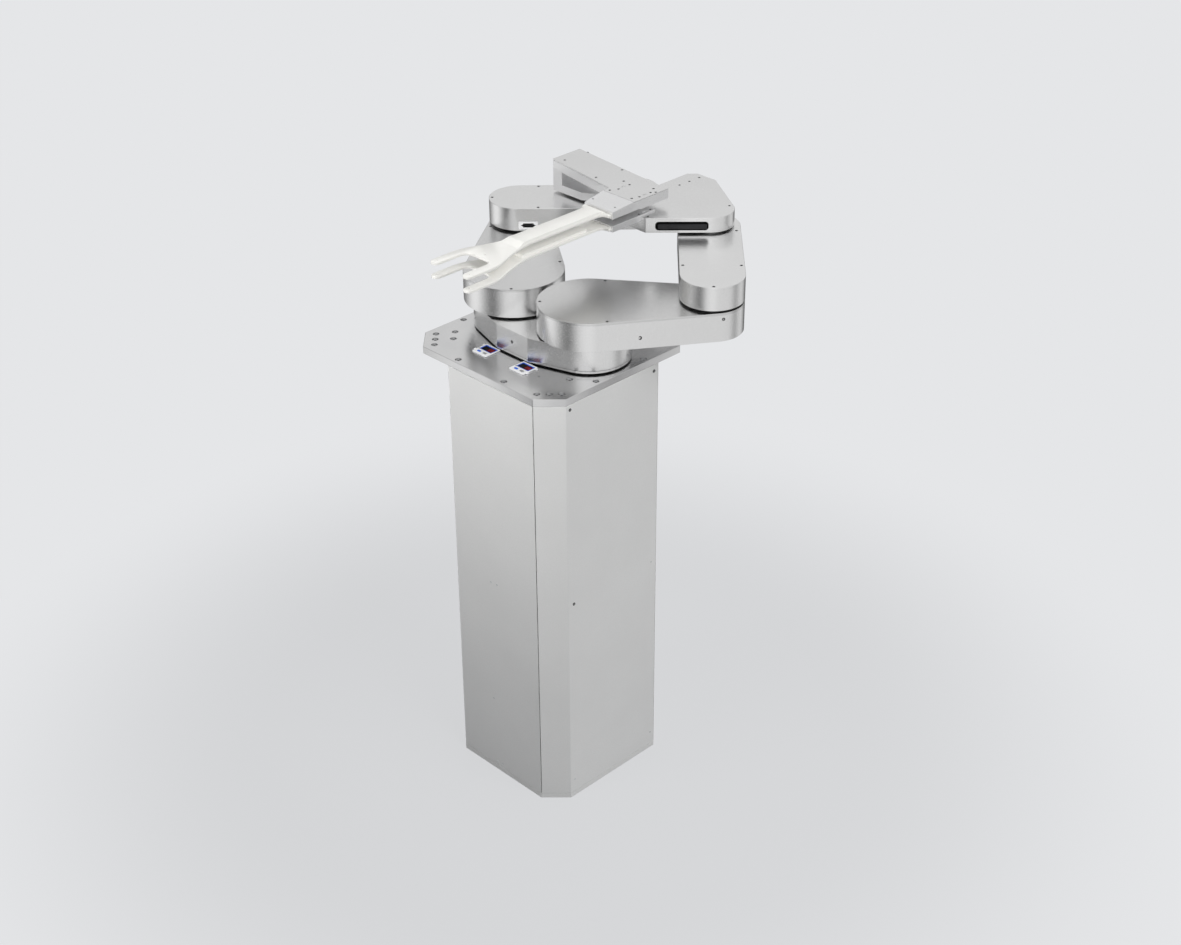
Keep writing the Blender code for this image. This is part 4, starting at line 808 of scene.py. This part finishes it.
def lowerLoop(inset=0.0):
    h, i = lowerHand, inset
    (x, y), (hx, hy, hr), back, left = h["corner"], h["hub"], h["back"] - inset, h["leftX"] + inset
    return tautLoop([(x - i * 1.3, y + i, 0), (hx, hy, hr - i), (h["backX"], back, 0),
                     (h["leftX"] + h["cut"] + i * 0.4, back, 0), (left, h["back"] - h["cut"] - i * 0.4, 0),
                     (left, y + i, 0)])


def windowPlace():
    h = lowerHand
    corner, hub = Vector(h["corner"]), Vector(h["hub"][:2])
    away = hub - corner
    heading = atan2(away.y, away.x) - asin(h["hub"][2] / away.length)
    centre = corner + Vector((cos(heading), sin(heading))) * (h["windowStart"] + h["windowLength"] / 2)
    level = h["windowFloor"] + h["windowLow"] + h["windowHeight"] / 2
    return at(centre.x, centre.y, level) @ Matrix.Rotation(heading, 4, "Z") @ Matrix.Rotation(pi / 2, 4, "X")


def makeLowerHand():
    h = lowerHand
    play, half, plateBottom, plateTop = h["play"], h["plateHalf"], h["plateBottom"], h["plateTop"]
    base = soften(slab("lowerHandBase", lowerLoop(), h["bottom"], h["baseTop"]), 0.3, 1, 30)
    add(base, *wristPin(h["hub"][0], h["hub"][1], h["bottom"] + h["flangeTop"]))
    dress(base, "lower_hand", "anodisedAluminium", "aluminium", "lower_hand_base")

    casing = soften(slab("lowerHandCasing", lowerLoop(), h["casingBottom"], h["top"]), 0.4, 1, 30)
    w, t, r, depth = h["windowLength"] / 2, h["windowHeight"] / 2, h["windowRound"], h["windowDepth"]
    cut(casing, slab("hollow", lowerLoop(h["wall"]), h["casingBottom"] - 1, plateBottom - h["roof"]),
        block("seat", -half - play, half + play, h["corner"][1] - 1, h["plateBack"] + play, plateBottom - play,
              h["top"] + 2),
        moved(slab("opening", roundedBox(-w, w, -t, t, r, 48), -depth, 4), windowPlace()))
    sinkScrews(casing, h["screws"], h["top"])
    dress(casing, "lower_hand", "anodisedAluminium", "aluminium", "lower_hand_casing")
    # The insert is black plastic, made darker still with painted shade of the window's depth
    insert = slab("handWindowInsert", roundedBox(-w + play, w - play, -t + play, t - play, r - play, 48),
                  -depth + play, h["insertFront"])
    moved(soften(insert, 0.3, 2, 40), windowPlace())
    dress(insert, "lower_hand", "paintedShadeBlack", "black_plastic", "hand_window_insert")

    # A dark stepped ledge along the window's lower edge
    sill = slab("handWindowSill", roundedBox(-w + 5, w - 2.4, -t + 1.2, t * 0.3, 2.0, 24), -2.5, -1.8)
    add(sill, slab("sillStep", roundedBox(-w * 0.5, w * 0.38, -t + 1.6, t * 0.12, 0.6, 8), -2.4, -1.1))
    dress(moved(soften(sill, 0.2, 1, 40), windowPlace()), "lower_hand", "blackNylon", "black_plastic")

    plate = soften(block("lowerForkPlate", -half, half, h["plateFront"], h["plateBack"], plateBottom, plateTop),
                   0.5, 1, 30)
    cut(plate, tongueSlot(fork["levels"]["lower"]), shimSlot(*h["shimSlot"], plateTop))
    sinkScrews(plate, h["plateScrews"], plateTop)
    dress(plate, "lower_hand", "satinAluminium", "aluminium", "lower_fork_plate")


# Screws, and black discs of painted hole shade, seen on each body: radii of their heads, how far the heads
# stand out of a wall or lie in a lid, and the spots on the column's walls by width and height

seen = dict(flange=5.3, flangeRise=4.6, set=1.9, setRise=0.1, black=2.9, blackOut=0.8, pale=1.8, paleOut=0.4,
            lid=2.3, lidIn=0.35, hand=2.0, handIn=0.3, rampRise=0.1, setSpots=[(-88, -114), (87, -114)],
            blackSpots=((-129.9, 826.8), (73.4, 824.3), (-126, 433.3)),
            sideSpots=((71.6, 430.3), (74.5, 36.2), (-128.8, 38.4)),
            frontSpots=((17.8, 429.5), (33.9, 430.6), (13.9, 166.4), (18.6, 18.8), (32.8, 19.6)))
# Black discs painted as the shade inside holes: one in the turret's front, and two in the right lower arm, one
# square to its flank and one on its end
holeShades = dict(turret=(0.4, 877.9, 2.9), arm=(84, -78.0, 922.5, 3.3), end=(226, -54.3, 944, 2.7), endFacing=-27)


def upright(spots, level, radius):
    return [(x, y, level, "up", radius) for x, y in spots]


def makeAllScrews():
    c, f, u, h, s = column, flange, upperHand, lowerHand, seen
    pale = []
    for y, z in s["sideSpots"]:
        pale += [(c["right"] + s["paleOut"], y, z, "right", s["pale"]),
                 (c["left"] - s["paleOut"], y, z, "left", s["pale"])]
    for x, z in s["frontSpots"]:
        pale += [(x, c["front"] - s["paleOut"], z, "front", s["pale"]),
                 (x, c["back"] + s["paleOut"], z, "back", s["pale"])]
    black = [(c["right"] + s["blackOut"], y, z, "right", s["black"]) for y, z in s["blackSpots"]]
    # Black discs painted as the shade inside the turret's hole and the right lower arm's two holes
    out, level, radius = holeShades["turret"]
    turretHoleShade = (0, -turret["half"] - out, level, "front", radius)
    link = links["right_lower_arm"]
    flank = link["turn"] - 90 - degrees(asin((link["near"] - link["far"]) / arm["length"]))
    armHoleShades = [(*worldSpot(link, (x, y)), z, facing, radius)
                for (x, y, z, radius), facing in ((holeShades["arm"], flank), (holeShades["end"], holeShades["endFacing"]))]
    ramp = u["rampDrop"] / (u["rampY"] - u["clampFront"])
    rampLevel = u["top"] - ramp * (u["rampY"] - u["rampScrews"][0][1]) + s["rampRise"]
    lids = [(body + "Screws", body, upright([worldSpot(link, spot) for spot in link["screws"]],
                                            link["bottom"] + link["height"] - s["lidIn"], s["lid"]),
             "greyScrew", 0.55) for body, link in links.items()]
    boltLevel = f["top"] - f["boreDepth"] + s["flangeRise"]
    for row in (
            ("flangeScrews", "column", upright(flangeHoles(), boltLevel, s["flange"]), "stainlessScrew", 0.45),
            ("panelBlackScrews", "column", black, "blackenedSteel"),
            ("panelScrews", "column", pale, "stainlessScrew"),
            ("flangeSetScrews", "column", upright(s["setSpots"], f["top"] + s["setRise"], s["set"]),
             "blackenedSteel"),
            ("turretHoleShade", "turret", [turretHoleShade], "paintedShadeBlack", 0.6),
            *lids,
            ("armHoleShades", "right_lower_arm", armHoleShades, "paintedShadeBlack", 0.6),
            ("bracketScrews", "upper_hand", upright(u["screws"], u["top"] - s["handIn"], s["hand"]),
             "greyScrew", 0.55),
            ("rampScrews", "upper_hand", upright(u["rampScrews"], rampLevel, s["hand"]), "blackenedSteel"),
            ("handScrews", "lower_hand", upright(h["screws"], h["top"] - s["handIn"], s["hand"]),
             "greyScrew", 0.55),
            ("forkPlateScrews", "lower_hand", upright(h["plateScrews"], h["plateTop"] - s["handIn"], s["hand"]),
             "blackenedSteel", 0.55)):
        makeScrews(*row)


# The solids inside, which are shown as the CAD has them

def finishInside():
    for part in frame["record"]["subparts"]:
        materials = frame["nodes"][part["node"]].data.materials
        look = finish[slotFinish[part["material_slot"]]]
        if not materials:
            materials.append(look)
        for k in range(len(materials)):
            materials[k] = look


# Camera, floor and light

view = dict(place=(2.2604, -2.1378, 2.4146), lens=60.21, sensor=36, heading=45.371, pitch=30.582, roll=-0.372)


def makeCamera():
    data = bpy.data.cameras.new("camera")
    data.lens = view["lens"]
    data.sensor_width = view["sensor"]
    data.sensor_fit = "HORIZONTAL"
    item = solid("camera", data)
    heading, tilt, roll = (radians(angle) for angle in (view["heading"], 90 - view["pitch"], view["roll"]))
    item.matrix_world = Matrix.Translation(view["place"]) @ Matrix.Rotation(heading, 4, "Z") \
        @ Matrix.Rotation(tilt, 4, "X") @ Matrix.Rotation(roll, 4, "Z")
    bpy.context.scene.camera = item


backdrop = dict(colour="#e5e6e8", floorRadius=1.35, fadeFrom=0.55, fadeTo=1.3, evenness=0.76,
                floorDark="#9c9d9f", floorLight="#a2a3a5", floorRoughness=0.9)


def makeFloor():
    # Pale disc that keeps the shadow and fades into the backdrop's colour before its rim
    b = backdrop
    bm = bmesh.new()
    bmesh.ops.create_circle(bm, cap_ends=True, segments=128, radius=b["floorRadius"])
    floor = meshSolid("floor", bm)
    material = bpy.data.materials.new("paleFloor")
    tree = nodesOf(material)
    place = addNode(tree, "ShaderNodeTexCoord").outputs["Object"]
    clouds = addNode(tree, "ShaderNodeTexNoise", {"Vector": place, "Scale": 1.5})
    shader = feed(tree.nodes["Principled BSDF"], {
        "Base Color": colourMix(tree, clouds, linear(b["floorDark"]), linear(b["floorLight"])),
        "Roughness": b["floorRoughness"]})
    glow = addNode(tree, "ShaderNodeEmission", {"Color": linear(b["colour"])})
    reach = addNode(tree, "ShaderNodeVectorMath", {0: place}, operation="LENGTH").outputs["Value"]
    fade = remap(tree, reach, b["fadeFrom"], b["fadeTo"], b["evenness"], curve="SMOOTHSTEP")
    path = addNode(tree, "ShaderNodeLightPath").outputs
    direct = calc(tree, "MAXIMUM", path["Is Camera Ray"], path["Is Glossy Ray"])
    mixed = addNode(tree, "ShaderNodeMixShader", {0: calc(tree, "MULTIPLY", direct, fade), 1: shader, 2: glow})
    feed(tree.nodes["Material Output"], {"Surface": mixed})
    floor.data.materials.append(material)


lamps = {
    "keySoftbox": {"place": (2.2, -0.2, 2.4), "aim": (0, 0, 0.7), "size": (1.8, 1.8), "power": 40,
                   "spread": 180},
    # Low and narrow, so the front panel fades towards the floor
    "frontSoftbox": {"place": (-0.3, -1.6, 1.3), "aim": (0, -0.18, 1.0), "size": (1.0, 0.6), "power": 4.8,
                     "spread": 84},
    "topSoftbox": {"place": (-0.2, 0.4, 3.4), "aim": (0, 0, 0.9), "size": (2.4, 2.4), "power": 12,
                   "spread": 180},
}
# Brightness of the studio's walls, by compass share from -X round to -X again
studioWalls = ((0.0, 0.36), (0.03, 0.56), (0.07, 0.84), (0.12, 0.92), (0.15, 0.76), (0.185, 0.46),
               (0.215, 0.22), (0.25, 0.12), (0.28, 0.36), (0.315, 0.72), (0.345, 0.8), (0.385, 0.82),
               (0.42, 0.7), (0.55, 0.68), (0.585, 0.5), (0.615, 0.32), (0.65, 0.55), (0.69, 0.68),
               (0.72, 0.66), (0.75, 0.38), (0.78, 0.12), (0.86, 0.08), (0.915, 0.08), (0.96, 0.2), (1.0, 0.36))
# The same for its ceiling: level behind the robot, where the lids look, banded in front
studioCeiling = ((0.0, 0.4), (0.05, 0.33), (0.08, 0.45), (0.12, 0.7), (0.15, 0.66), (0.19, 0.42), (0.22, 0.38),
                 (0.25, 0.55), (0.28, 0.8), (0.32, 1.0), (0.38, 1.0), (0.42, 0.9), (0.52, 0.78), (0.56, 0.72),
                 (0.6, 0.64), (0.68, 0.5), (0.73, 0.5), (0.79, 0.8), (0.945, 0.8), (0.98, 0.55))
# Heights between which the walls turn into the ceiling, and the fill's brightness by height and by depth
studio = dict(blend=(0.1, 0.4), fillHeight=(-0.4, 0.2, 0.1, 0.6), fillDepth=(-0.8, 0.1, 0.05, 1.0),
              fillColour=(0.985, 0.99, 1.0, 1))


def brightnessRamp(tree, share, levels):
    ramp = addNode(tree, "ShaderNodeValToRGB", {0: share})
    stops = ramp.color_ramp.elements
    while len(stops) < len(levels):
        stops.new(0.5)
    for stop, (spot, level) in zip(stops, levels):
        stop.position = spot
        stop.color = (level, level, level, 1)
    return ramp


def makeLamps():
    for name, lamp in lamps.items():
        data = bpy.data.lights.new(name, "AREA")
        data.shape = "RECTANGLE"
        data.size, data.size_y = lamp["size"]
        data.energy = lamp["power"]
        data.spread = radians(lamp["spread"])
        item = solid(name, data)
        item.location = lamp["place"]
        item.rotation_euler = (Vector(lamp["aim"]) - Vector(lamp["place"])).to_track_quat("-Z", "Y").to_euler()
        item.visible_camera = False
        item.visible_glossy = False  # what the metal mirrors is the studio below, not the lamps


def makeWorld():
    # Metal mirrors the studio, matt surfaces get a soft fill, and the camera sees the plain backdrop
    world = bpy.data.worlds.new("studio")
    bpy.context.scene.world = world
    tree = nodesOf(world)
    tree.nodes.clear()
    path = addNode(tree, "ShaderNodeLightPath").outputs
    ray = addNode(tree, "ShaderNodeTexCoord").outputs["Generated"]
    parts = addNode(tree, "ShaderNodeSeparateXYZ", {0: ray}).outputs
    share = remap(tree, calc(tree, "ARCTAN2", parts["Y"], parts["X"]), -pi, pi)
    sky = colourMix(tree, remap(tree, parts["Z"], *studio["blend"]), brightnessRamp(tree, share, studioWalls),
                    brightnessRamp(tree, share, studioCeiling))
    fill = calc(tree, "MULTIPLY", remap(tree, parts["Z"], *studio["fillHeight"]),
                remap(tree, parts["Y"], *studio["fillDepth"]))
    shiny, soft, plain = (addNode(tree, "ShaderNodeBackground", {"Color": colour, "Strength": strength})
                          for colour, strength in ((sky, 1.0), (studio["fillColour"], fill),
                                                   (linear(backdrop["colour"]), 1.0)))
    first = addNode(tree, "ShaderNodeMixShader", {0: path["Is Glossy Ray"], 1: soft, 2: shiny})
    last = addNode(tree, "ShaderNodeMixShader", {0: path["Is Camera Ray"], 1: first, 2: plain})
    addNode(tree, "ShaderNodeOutputWorld", {"Surface": last})


makeColumn()
makeFlange()
for side, (x, y) in zip(("left", "right"), switchPlaces):
    makeSwitch(side, x, y)
print("column, flange and switches made")
makeTurret()
makeArms()
makeConnector()
print("turret and arms made")
makeUpperHand()
makeLowerHand()
makeFork("upper")
makeFork("lower")
print("hands and forks made")
makeAllScrews()
finishInside()
print("screws made, inside finished")
makeFloor()
makeLamps()
makeWorld()
makeCamera()
bpy.context.scene.view_settings.view_transform = "Standard"
print("scene lit")
